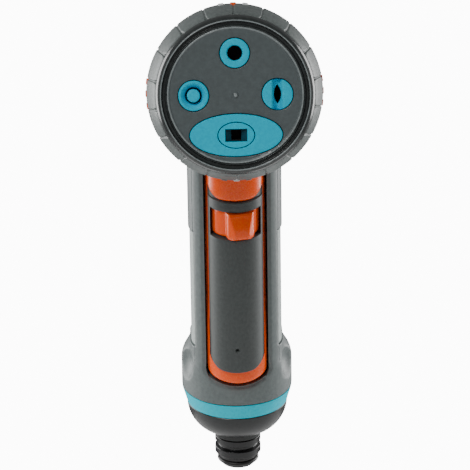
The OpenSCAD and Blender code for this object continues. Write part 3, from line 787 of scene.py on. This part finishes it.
def face_plate():
    shape = Shape()
    rounding = [(0, 0.3), (0.08, 0.12), (0.25, 0.02), (0.5, 0)]
    bead = [(0, 0.1), (0.1, -0.2), (0.3, -0.4), (0.5, -0.42), (0.75, -0.25), (1.0, 0.0), (1.3, 0.05),
            (1.8, 0)]
    points, drops, edges = [], [], []

    def loop(outline, drop, edge):
        base = len(points)
        points.extend(outline)
        drops.extend([drop] * len(outline))
        if edge:
            edges.extend((base + k, base + (k + 1) % len(outline)) for k in range(len(outline)))

    for inset, drop in bead:
        loop(circle(FACE_R - inset, count=180), drop, inset == 0)
    for inset, drop in rounding:
        for centre, radius in ROUND_INSERTS:
            loop(circle(radius + GAP + inset, centre, 72), drop, inset == 0)
        loop(ellipse(OVAL_W, OVAL_H, OVAL, GAP + inset, 144), drop, inset == 0)

    def in_hole(point, margin):
        if any((point - centre).length < radius + GAP + margin for centre, radius in ROUND_INSERTS):
            return True
        local = point - OVAL
        width, height = OVAL_W / 2 + GAP + margin, OVAL_H / 2 + GAP + margin
        return (local.x / width) ** 2 + (local.y / height) ** 2 < 1

    bump_r = 1.1
    for radius in (0.01, 0.3, 0.6, 0.85, 1.0, bump_r, 1.5):
        loop(circle(radius, count=24), 0, False)
    for ring in spread(2.4, FACE_R - 2.4, 1):
        for point in circle(ring, count=max(12, round(ring * 6))):
            if not in_hole(point, 0.9):
                points.append(point)
                drops.append(0)
    verts, _, faces, origins, _, _ = delaunay_2d_cdt(points, edges, [], 1, 1e-5)

    def front(k):
        point = verts[k]
        depth = dish(point) + (drops[origins[k][0]] if origins[k] else 0)
        distance = point.length
        if distance < bump_r:
            depth -= 0.62 * math.sqrt(1 - (distance / bump_r) ** 2)
        return depth

    base = len(shape.points)
    shape.points.extend(Vector((point.x, point.y, front(k))) for k, point in enumerate(verts))
    for face in faces:
        middle = sum((verts[k] for k in face), Vector((0, 0))) / len(face)
        if not in_hole(middle, -0.02):
            shape.faces.append(tuple(base + k for k in face))
    back = plate_high.z - 0.05
    walls = [circle(FACE_R, count=180), ellipse(OVAL_W, OVAL_H, OVAL, GAP, 144)]
    walls += [circle(radius + GAP, centre, 72) for centre, radius in ROUND_INSERTS]
    for outline in walls:
        shape.grid([[(p.x, p.y, dish(p) + 0.3) for p in outline], level(outline, back)], close_columns=True)
    plate = shape.object("face_plate_moulded", HEAD, FACE, "turret", ["face_plate"], "face", sharp=50)
    # painted highlights: a lighter ring on the rim bead and a lighter spot on the centre bump
    paint_highlight_band(plate, PAINTED_HIGHLIGHT, FACE_R - 0.8, FACE_R - 0.15, 1)
    paint_highlight_band(plate, PAINTED_HIGHLIGHT, 0.05, 0.6, 1)


def inserts():
    front = -0.18
    back = plate_high.z

    def rim(radius):
        """Profile of an insert's outer rim, from its back to its front face."""
        return [(radius - 0.3, back), (radius, back - 0.2), (radius, front + 0.45),
                (radius - 0.06, front + 0.2), (radius - 0.2, front + 0.05), (radius - 0.45, front)]

    jet = Shape()
    jet.lathe(rim(JET_R) + [(3.35, front), (3.12, front + 0.06), (2.9, front + 0.3), (2.75, front + 0.8),
                            (2.72, 2), (2.7, 7.6), (0.02, 7.6), (0.02, 7.9), (4.5, 7.9), (4.5, back)],
              96, JET)
    turned = jet.object("jet_insert_turned", HEAD, CYAN, "turret", ["jet_insert"], "insert", 50)
    # painted black shadow on the bore's walls and floor deeper than 1 mm
    paint_shade_inside(turned, BORE_SHADOW, 1)

    cone = Shape()
    cone.lathe(rim(CONE_R) + [(4.85, front), (4.6, front + 0.12), (4.15, 0.55), (3.65, 1.2), (3.25, 2),
                              (3.05, 3), (3, 6.5), (1.01, 6.5), (1.01, 7), (4.5, 7), (4.5, back)], 96, CONE)
    turned = cone.object("cone_insert_turned", HEAD, CYAN, "turret", ["cone_insert"], "insert", 50)
    # painted shade in the funnel's pit deeper than 3.5 mm
    paint_shade_inside(turned, RECESS_SHADE, 3.5)

    pin = Shape()
    pin.lathe([(0.02, 0.02), (1.3, 0), (2.05, 0.03), (2.3, 0.15), (2.4, 0.4), (2.4, 3.5), (1, 3.6), (1, 7),
               (0.02, 7)], 72, CONE, closed=False)
    pin.object("cone_pin_turned", HEAD, CYAN, "turret", ["cone_pin"], "insert", 50)

    flat = Shape()
    groove_half, groove_depth = 2.3, 2.6
    lens_r, lens_back = 5.3, 3.95
    lens_share = 0.3
    across = spread(0, lens_share, 0.1) + spread(lens_share, 0.9, 0.06)[1:] + [0.93, 0.96, 0.98, 0.99, 1]
    across = [-share for share in reversed(across[1:])] + across
    rows = []
    for angle in spread(-90, 90, 3):
        y = FLAT_R * math.sin(math.radians(angle))
        chord = math.sqrt(max(FLAT_R ** 2 - y * y, 0))
        lens_half = max(math.sqrt(max(lens_r ** 2 - y * y, 0)) - lens_back, 0.01)
        row = []
        for share in across:
            if abs(share) <= lens_share:
                x = lens_half * abs(share) / lens_share
            else:
                x = lens_half + (chord - lens_half) * (abs(share) - lens_share) / (1 - lens_share)
            x = min(x, chord)
            depth = front + edge_drop(FLAT_R - math.hypot(x, y), 0.4)
            depth += groove_depth * (1 - ease(x, 0.35, groove_half))
            if abs(share) < lens_share - 0.05 and lens_half > 0.05:
                depth = 7.5 - 2 * x
            row.append((FLAT.x + math.copysign(x, share), FLAT.y + y, depth))
        rows.append(row)
    flat.grid(rows)
    outline = circle(FLAT_R - 0.01, FLAT)
    stem = circle(4.5, FLAT)
    flat.loft([level(outline, front + 0.35), level(outline, back), level(stem, back), level(stem, 7.9)])
    flat.cap(level(stem, 7.9))
    moulding = flat.object("flat_insert_moulded", HEAD, CYAN, "turret", ["flat_insert"], "insert", 40)
    # painted black shadow in the lens slot deeper than 2.9 mm
    paint_shade_inside(moulding, BORE_SHADOW, 2.9)

    oval = Shape()
    inner_w, inner_h = 13.9, 9.9
    loops = [(OVAL_W, OVAL_H, grow, depth) for grow, depth in
             ((-0.1, back), (0, back - 0.2), (0, front + 0.45), (-0.06, front + 0.2), (-0.2, front + 0.05),
              (-0.45, front), (-1.2, front))]
    loops += [(inner_w, inner_h, grow, depth) for grow, depth in
              ((1.2, front), (0.3, front), (0.12, front + 0.03), (0.02, front + 0.12), (0, front + 0.4),
               (0, back))]
    oval.loft([level(ellipse(w, h, OVAL, grow, 144), depth) for w, h, grow, depth in loops])
    oval.object("oval_insert_moulded", HEAD, CYAN, "turret", ["oval_insert"], "insert", 40)

    core = Shape()

    def box_loop(half_w, half_h):
        """A rectangle with as many points as the ellipses, starting at the middle of its right side."""
        per_side = 36
        corners = [Vector((half_w, half_h)), Vector((-half_w, half_h)), Vector((-half_w, -half_h)),
                   Vector((half_w, -half_h))]
        points = [corners[0].lerp(corners[3], 0.5 - k / per_side) for k in range(per_side // 2)]
        for start, stop in zip(corners, corners[1:]):
            points += [start.lerp(stop, k / per_side) for k in range(per_side)]
        points += [corners[3].lerp(corners[0], k / per_side) for k in range(per_side // 2)]
        return [OVAL + point for point in points]

    ellipses = [(13.3, 9.3, grow, depth) for grow, depth in
                ((0, back), (0, front + 0.4), (-0.02, front + 0.12), (-0.12, front + 0.03), (-0.3, front))]
    stack = [level(ellipse(w, h, OVAL, grow, 144), depth) for w, h, grow, depth in ellipses]
    stack += [level(box_loop(4.12, 2.37), front), level(box_loop(4.05, 2.3), front + 0.08)]
    core.loft(stack)
    core.object("oval_core_moulded", HEAD, CYAN, "turret", ["oval_core"], "insert", 30)
    funnel = Shape()
    funnel.loft([level(box_loop(4.05, 2.3), front + 0.08), level(box_loop(3.95, 2.25), 0.8),
                 level(box_loop(1.85, 2.0), 2.2), level(box_loop(1.8, 1.8), 2.4),
                 level(box_loop(1.7, 1.7), 7.5)])
    funnel.cap(level(box_loop(1.7, 1.7), 7.5))
    # the funnel is painted shade all over, with painted black shadow deeper than 2.3 mm
    moulding = funnel.object("oval_funnel", HEAD, RECESS_SHADE, "turret", ["oval_core"], "insert", 30)
    paint_shade_inside(moulding, BORE_SHADOW, 2.3)


def head_rings():
    bezel = Shape()
    low = ring_low.z
    bezel.lathe(rounded([(25.35, low, 0), (25.35, -0.3, 0.1), (25.62, -0.62, 0.2), (26.1, 0.25, 0.15),
                         (26.85, 0.3, 0.15), (27.25, -0.85, 0.2), (27.7, -1, 0.25), (28.7, 0, 0.5),
                         (29.3, 1.4, 0.5), (29.5, low, 0)]), 216)
    turned = bezel.object("bezel_turned", HEAD, BEZEL, "turret", ["bezel"], "dark_plastic", 50)
    # painted highlight line round the bezel
    paint_highlight_band(turned, PAINTED_HIGHLIGHT, 27.4, 27.75, 0)

    cup = Shape()
    cup.lathe(rounded([(5.8, 8.2, 0), (25, 8.2, 0), (FACE_R, 3, 0), (27.2, low, 0), (30.4, 19, 0),
                       (30.4, 25.9, 0.4), (29.9, 26.6, 0.6), (24.8, 30, 0.6), (21.5, 30, 0.2),
                       (21.5, 13, 0), (5.8, 13, 0)]), 180)
    cup.object("turret_cup_turned", HEAD, DARK, "turret", ["turret_cup"], "dark_plastic", 50)


PAD_COUNT = 18
ring_r = curve_through([(2.7, 29.3), (3.2, 29.75), (5.5, 30.65), (8.5, 31.45), (11, 32.1), (14, 32.65),
                        (17, 32.95), (19, 33), (21, 32.95), (22.6, 32.8), (24, 32.5), (25, 32.1),
                        (25.6, 31.6), (26, 30.9)])
WIDEST = 19


def grip_ring():
    shape = Shape()
    depths = [2.7, 2.9, 3.2, 3.7, 4.4] + spread(5.2, 22.6, 1.1) + [23.4, 24, 24.5, 25, 25.35, 25.6, 25.85, 26]
    beside = [0, 0.2, 0.38, 0.5, 0.65, 0.85, 1.1]
    pitch = 2 * math.pi / PAD_COUNT
    both_sides = [-away for away in reversed(beside[1:])] + beside
    turns = []
    for k in range(PAD_COUNT):
        grooves = [k * pitch - math.pi / 2 + away / ring_r(WIDEST) for away in both_sides]
        start = grooves[-1]
        stop = start + pitch - 2 * beside[-1] / ring_r(WIDEST)
        turns += grooves + spread(start, stop, 0.04)[1:-1]

    def groove(turn, depth):
        """How deep the nearest groove is here."""
        off = (turn + math.pi / 2) / pitch
        away = abs(off - round(off)) * pitch * ring_r(WIDEST)
        wide = 0.4 + 0.4 * (1 - ease(depth, 2.8, 5))
        deep = 0.38 + 0.9 * (1 - ease(depth, 2.8, 5.5))
        if depth > 25:
            deep *= 1 - ease(depth, 25, 26)
        return deep * (1 - ease(away, wide * 0.5, wide * 1.25))

    rows = []
    for depth in depths:
        rows.append([((ring_r(depth) - groove(t, depth)) * math.cos(t),
                      (ring_r(depth) - groove(t, depth)) * math.sin(t), depth) for t in turns])
    for radius, depth in ((30.5, 26), (30.5, 19), (27.3, 2.7)):
        rows.append([(radius * math.cos(t), radius * math.sin(t), depth) for t in turns])
    shape.grid(rows, close_rows=True, close_columns=True)
    shape.object("grip_ring_moulded", HEAD, RING, "turret", ["grip_ring"], "soft_grip", 55)


def pattern_marks():
    """Plain bars at each station: orange at the sides, white and grey below, white about orange on top."""
    top = local_box("pattern_marks", HEAD)[1].x
    bars = {"orange": Shape(), "white": Shape(), "grey": Shape()}
    for turn in range(0, 360, 90):
        for k in (-1, 0, 1):
            angle = math.radians(turn + 8 * k)
            out = Vector((math.sin(angle), -math.cos(angle), 0))
            across = Vector((math.cos(angle), math.sin(angle), 0))
            at_side = turn in (90, 270)
            colour = "white"
            if at_side or (turn == 0 and k == 0):
                colour = "orange"
            elif turn == 180 and k:
                colour = "grey"
            shape = bars[colour]
            proud = top - ring_r(WIDEST)
            loops = []
            for rise, inset in ((-0.6, 0), (proud - 0.2, 0), (proud - 0.06, 0.1), (proud, 0.3)):
                outline = rounded([(-1.1 + inset, 15 + inset, 0.4), (1.1 - inset, 15 + inset, 0.4),
                                   (1.1 - inset, 21 - inset, 0.4), (-1.1 + inset, 21 - inset, 0.4)])
                loops.append([out * (ring_r(b) + rise) + across * a + Vector((0, 0, b)) for a, b in outline])
            shape.loft(loops, cap_ends=True)
    bars["orange"].object("marks_orange", HEAD, ORANGE, "turret", ["pattern_marks"], "orange", 40)
    bars["white"].object("marks_white", HEAD, WHITE, "turret", ["pattern_marks"], "orange", 40)
    bars["grey"].object("marks_grey", HEAD, RING, "turret", ["pattern_marks"], "orange", 40)


# ---- Trigger ----

LEVER_HALF = lever_high.x
LEVER_AXIS_Y = -13.5
PAD_HALF = pad_high.x
PAD_AXIS_Y = -16.5
POCKET_HALF = 10.8
WINDOW_LOW = wheel_low.z - 0.4
WINDOW_TOP = wheel_high.z + 0.4
WINDOW_HALF = 9.7
WINDOW_BACK = -12.4
PAD_LOW = pad_low.z
PAD_TOP = pad_high.z - 0.5
PAD_CORNER = 4.6


def lever_front(x):
    return LEVER_AXIS_Y - math.sqrt(max(LEVER_HALF ** 2 - x * x, 0))


def trigger():
    shape = Shape()
    low = lever_low.z
    half = LEVER_HALF
    outer = [half * math.sin(math.radians(angle)) for angle in (90, 86, 82, 78, 74, 71, 68)]
    outer = [x for x in outer if x > POCKET_HALF] + [POCKET_HALF]
    inner = [(POCKET_HALF, 1), (10.0, 1), (10.0, 2)] + [(x, 2) for x in spread(9, 0, 1)]
    right = [(x, 0) for x in outer] + inner
    columns = [(-x, zone) for x, zone in right] + [(x, zone) for x, zone in reversed(right[:-1])]
    rises = [(low, 0), (low + 0.1, 0), (low + 0.35, 0), (low + 0.8, 0), (low + 1.4, 0)]
    rises += [(z, 0) for z in spread(low + 2, PAD_LOW - 0.6, 0.8)] + [(PAD_LOW - 0.1, 0), (PAD_LOW - 0.1, 1)]
    rises += [(z, 1) for z in spread(PAD_LOW + 4, WINDOW_LOW - 0.3, 6)] + [(WINDOW_LOW - 0.3, 2)]
    rises += [(WINDOW_TOP + 0.3, 2), (WINDOW_TOP + 0.3, 1)]
    rises += [(z, 1) for z in spread(PAD_TOP, lever_high.z, 4)]
    rows = [[(x, -8.5, low + foot_rise(x, half, 36, 1.5)) for x, _ in columns]]
    for z, row_zone in rises:
        row = []
        for x, zone in columns:
            in_foot = PAD_LOW - 0.1 - z
            near_pad = 1 - min(max(in_foot / (PAD_LOW - low), 0), 1)
            pad_lift = foot_rise(x, POCKET_HALF + 0.05, 50, PAD_CORNER)
            pad_lift *= 1 - ease(z, PAD_LOW + 6, PAD_LOW + 40)
            lift = foot_rise(x, half, 36, 1.5) * (1 - near_pad) + pad_lift * near_pad
            set_back = 2.0 * ease(z, PAD_LOW + 4, PAD_LOW + 30)
            y = (lever_front(x) + set_back, PAD_FLOOR, WINDOW_BACK)[min(zone, row_zone)]
            if z < low + 1.2:
                y += edge_drop(z - low, 1.2)
            row.append((x, y, z + lift))
        rows.append(row)
    zones_up = [0] + [zone for _, zone in rises]
    zones_across = [zone for _, zone in columns]

    def kept(i, j):
        """The window for the lock wheel is open at its back."""
        return min(zones_up[i:i + 2] + zones_across[j:j + 2]) < 2

    shape.grid(rows, keep=kept)
    # side walls behind the round front
    for pick in (0, -1):
        shape.grid([[row[pick] for row in rows], [(row[pick][0], -8.5, row[pick][2]) for row in rows]])

    # smooth tongue at the top, with round lower corners
    radius = 10.9
    corner = 5.4
    top = lever_high.z

    def tongue_loop(z, inset):
        points = []
        share = min((top - z) / (top - PAD_TOP), 1)
        for angle in spread(-90, 90, 4):
            turn = math.radians(angle)
            x = (radius - inset) * math.sin(turn)
            lift = foot_rise(x, radius, 200, corner)
            points.append((x, PIVOT_Y - (radius - inset) * math.cos(turn), z + lift * share))
        points += [(radius - inset, -10, z + corner * share), (-radius + inset, -10, z + corner * share)]
        return points

    loops = [tongue_loop(PAD_TOP + edge, inset) for edge, inset in
             ((0, 3.5), (0, 1.6), (0.05, 1.1), (0.25, 0.6), (0.6, 0.25), (1.1, 0.05), (1.6, 0))]
    loops += [tongue_loop(z, 0) for z in spread(PAD_TOP + 3, top, 2)]
    shape.loft(loops, cap_ends=True)
    shape.object("trigger_lever", HANDLE, ORANGE, "lever", ["trigger"], "orange", 40)


def trigger_pad():
    shape = Shape()
    rounding = 0.55
    edge = (0.12, 0.3, 0.6)
    limit = math.sqrt(PAD_HALF ** 2 - (PAD_FLOOR - PAD_AXIS_Y) ** 2)
    side = [(limit, 0), (limit - 0.06, 0), (limit - 0.2, 0), (WINDOW_HALF + 0.5, 0), (WINDOW_HALF + 0.3, 0),
            (WINDOW_HALF + 0.12, 0), (WINDOW_HALF, 0), (WINDOW_HALF, 1)]
    side += [(x, 1) for x in (9.2, 8.6, 8.0, 7.3, 6.5, 5.6, 4.7, 3.8, 2.9, 2.0, 1.2, 0.75, 0.5, 0.25, 0)]
    columns = [(-x, zone) for x, zone in side] + [(x, zone) for x, zone in reversed(side[:-1])]
    dimple_up, dimple_r, dimple_depth = 62.4, 0.85, 1.6
    rises = [(PAD_LOW, 0)] + [(PAD_LOW + e, 0) for e in edge]
    rises += [(z, 0) for z in spread(PAD_LOW + 1.6, 60.6, 1.5)]
    rises += [(dimple_up + d, 0) for d in (-1.1, -0.75, -0.5, -0.25, 0, 0.25, 0.5, 0.75, 1.1)]
    rises += [(z, 0) for z in spread(65, WINDOW_LOW - 1.6, 2)]
    rises += [(WINDOW_LOW - e, 0) for e in reversed(edge)]
    rises += [(WINDOW_LOW, 0), (WINDOW_LOW, 1), (WINDOW_TOP, 1), (WINDOW_TOP, 0)]
    rises += [(WINDOW_TOP + e, 0) for e in edge] + [(z, 0) for z in spread(122, 124.8, 0.7)]
    rises += [(PAD_TOP - 0.1 - e, 0) for e in reversed(edge)] + [(PAD_TOP - 0.1, 0), (PAD_TOP - 0.05, 0)]
    rises += [(z, 0) for z in spread(PAD_TOP + 2, PAD_TOP + 9, 2)]

    rows = []
    for i, (z, row_zone) in enumerate(rises):
        row = []
        for x, zone in columns:
            lift = foot_rise(x, PAD_HALF, 50, PAD_CORNER) * (1 - ease(z, PAD_LOW + 6, PAD_LOW + 40))
            drop = edge_drop(z - PAD_LOW, rounding)
            if z < PAD_TOP - 0.07:
                drop += edge_drop(PAD_TOP - 0.1 - z, rounding)
            if WINDOW_LOW - 1 < z < WINDOW_TOP + 1:
                across = abs(x) - WINDOW_HALF
                above = max(WINDOW_LOW - z, z - WINDOW_TOP)
                drop += edge_drop(max(across, above), rounding)
            y = PAD_AXIS_Y - math.sqrt(max(PAD_HALF ** 2 - x * x, 0)) + min(drop, rounding)
            distance = math.hypot(x, z - dimple_up)
            if distance < dimple_r:
                y += dimple_depth * math.cos(distance / dimple_r * math.pi / 2)
            if zone and row_zone:
                y = PAD_FLOOR - 0.1
            if z > PAD_TOP - 0.07:
                y += 1.5
            row.append((x, min(y, PAD_FLOOR - 0.05), z + lift))
        rows.append(row)

    def kept(i, j):
        hole_row = rises[i][1] and rises[i + 1][1]
        hole_column = columns[j][1] and columns[j + 1][1]
        return not (hole_row and hole_column)

    shape.grid(rows, keep=kept)
    shape.grid([rows[0], [(x, PAD_FLOOR - 0.05, z) for x, _, z in rows[0]]])
    shape.grid([rows[-1], [(x, PAD_FLOOR - 0.05, z) for x, _, z in rows[-1]]])
    shape.object("trigger_pad_soft", HANDLE, PAD, "lever", ["trigger_pad"], "pad", 50)


def lock_wheel():
    shape = Shape()
    low, high = wheel_low.z, wheel_high.z
    turned = math.radians(12)
    base_r = 9.4
    lobe = 13.3
    # facets of the lobe: turn from its middle, distance from the wheel's axis
    facets = [(0, lobe), (-50, 10.9), (47, 10.8), (-84, 6.4), (70, 8.2)]

    def radius(turn, recess):
        reach = 40
        for normal, distance in facets:
            facing = math.cos(turn - turned - math.radians(normal))
            if facing > 0.05:
                face = distance - (recess if normal == 0 else 0)
                reach = -smooth_max(-reach, -face / facing, 0.35)
        return smooth_max(base_r, reach, 0.3)

    loops = []
    levels = [(low, 1.6, 0.9), (low + 0.08, 1.1, 0.5), (low + 0.3, 0.7, 0.25), (low + 0.8, 0.3, 0.06),
              (low + 1.5, 0, 0)]
    levels += [(z, 1.9 * ease(z, low + 2.2, high + 1), 0) for z in spread(low + 2.2, high - 0.5, 0.6)]
    levels += [(high - 0.1, 1.85, 0.15), (high, 1.9, 0.5)]
    for z, recess, inset in levels:
        loop = []
        for angle in spread(-92, 92, 1.5):
            turn = math.radians(angle)
            reach = radius(turn, recess) - inset
            loop.append((reach * math.sin(turn), PIVOT_Y - reach * math.cos(turn), z))
        loop += [(3.4 * math.sin(math.radians(a)), PIVOT_Y - 3.4 * math.cos(math.radians(a)), z)
                 for a in spread(120, 240, 15)]
        loops.append(loop)
    shape.loft(loops, cap_ends=True)
    shape.object("lock_wheel_moulded", HANDLE, ORANGE, "lock", ["lock_wheel"], "orange", 30)


# ---- Inner pieces: all but the valve spring keep their CAD shape ----

def valve_spring():
    """A coil of round wire, built at one fixed length; the real spring gets shorter as the valve opens."""
    low, high = local_box("valve_spring", HANDLE)
    wire, turns = 0.4, 4
    mean_r = high.x - wire
    up = (low.z + high.z) / 2
    first, last = low.y + wire, high.y - wire
    back = Vector((0, 1, 0))
    coil = Shape()
    rows = []
    for turn in spread(0, 2 * math.pi * turns, 0.15):
        out = Vector((math.cos(turn), 0, math.sin(turn)))
        share = turn / (2 * math.pi * turns)
        centre = out * mean_r + Vector((0, first + (last - first) * share, up))
        rows.append([centre + (out * math.cos(t) + back * math.sin(t)) * wire
                     for t in spread(0, 2 * math.pi, 0.5)[:-1]])
    coil.loft(rows, cap_ends=True)
    piece = coil.object("valve_spring_coil", HANDLE, STEEL, "gun", ["valve_spring"], "steel")
    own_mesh(piece)


INNER = {
    "steel": (STEEL, ["valve_stem", "detent_ball", "detent_spring", "turret_screw", "trigger_pin",
                      "trigger_spring", "lock_pin", "body_screws", "inlet_screen"]),
    "seal": (SEAL, ["valve_seat", "stem_o_ring", "port_seal"]),
    "tube": (TUBE, ["water_tube", "valve_plug", "outlet_tube"]),
    "core": (CORE, ["port_plate", "valve_body"]),
}


def dress_inner_pieces():
    for material, names in INNER.values():
        for name in names:
            mesh = frame["nodes"][name].data
            mesh.materials.clear()
            mesh.materials.append(material)


# ---- Studio ----

ROOM_LIGHT = 0.22
BACKDROP = 12

def studio():
    floor = Shape()
    ground = cad_low[2] / MM - 118
    floor.cap(level(circle(400, (0, -60)), ground))
    mesh = bpy.data.meshes.new("floor")
    mesh.from_pydata([point * MM for point in floor.points], [], floor.faces)
    plane = bpy.data.objects.new("floor", mesh)
    bpy.context.scene.collection.objects.link(plane)
    pale, paler = (0.93, 0.93, 0.93, 1), (0.95, 0.95, 0.95, 1)
    mesh.materials.append(moulded("floor_paper", pale, paler, (0.8, 0.9), 400))

    world = bpy.data.worlds.new("studio")
    world.use_nodes = True
    nodes = world.node_tree.nodes
    links = world.node_tree.links
    backdrop = nodes["Background"]
    backdrop.inputs["Color"].default_value = (1, 1, 1, 1)
    # a white backdrop that lights the object only softly
    rays = nodes.new("ShaderNodeLightPath")
    strength = nodes.new("ShaderNodeMapRange")
    strength.inputs["To Min"].default_value = ROOM_LIGHT
    strength.inputs["To Max"].default_value = BACKDROP
    links.new(rays.outputs["Is Camera Ray"], strength.inputs["Value"])
    links.new(strength.outputs["Result"], backdrop.inputs["Strength"])
    bpy.context.scene.world = world

    def soft_light(name, position, size, watts):
        light = bpy.data.lights.new(name, "AREA")
        light.size = size
        light.energy = watts
        lamp = bpy.data.objects.new(name, light)
        lamp.location = position
        lamp.rotation_euler = (Vector((0, -0.06, 0.1)) - Vector(position)).to_track_quat("-Z", "Y").to_euler()
        bpy.context.scene.collection.objects.link(lamp)

    soft_light("key", (-0.45, -0.9, 0.85), 0.5, 7.2)
    soft_light("low", (0.3, -0.9, -0.35), 0.4, 0.5)
    soft_light("left_edge", (-0.7, 0.3, 0.2), 0.6, 8)
    soft_light("right_edge", (0.7, 0.3, 0.2), 0.6, 8)


def camera():
    """The camera stands a little higher than the head, about 1.4 m in front, looking a little down."""
    down, yaw, roll = math.radians(6.03), math.radians(0.86), math.radians(1.15)
    distance = 1.366
    look_at = Vector((-0.00035, -0.06, 0.09825))
    view_width = 180.95 * MM
    ahead = Vector((math.sin(yaw) * math.cos(down), math.cos(yaw) * math.cos(down), -math.sin(down)))
    right = Vector((math.cos(yaw), -math.sin(yaw), 0))
    up = right.cross(ahead)
    turned_right = right * math.cos(roll) - up * math.sin(roll)
    turned_up = right * math.sin(roll) + up * math.cos(roll)
    data = bpy.data.cameras.new("camera")
    data.sensor_width = 36
    data.lens = 36 * distance / view_width
    data.clip_end = 20
    rig = bpy.data.objects.new("camera", data)
    axes = Matrix((turned_right, turned_up, -ahead)).transposed().to_4x4()
    rig.matrix_world = Matrix.Translation(look_at - ahead * distance) @ axes
    bpy.context.scene.collection.objects.link(rig)
    bpy.context.scene.camera = rig


camera()
studio()
bore_screw_wells(body_shell())
screw_bosses()
front_frame()
rear_grip()
base()
face_plate()
inserts()
head_rings()
grip_ring()
pattern_marks()
trigger()
trigger_pad()
lock_wheel()
valve_spring()
dress_inner_pieces()
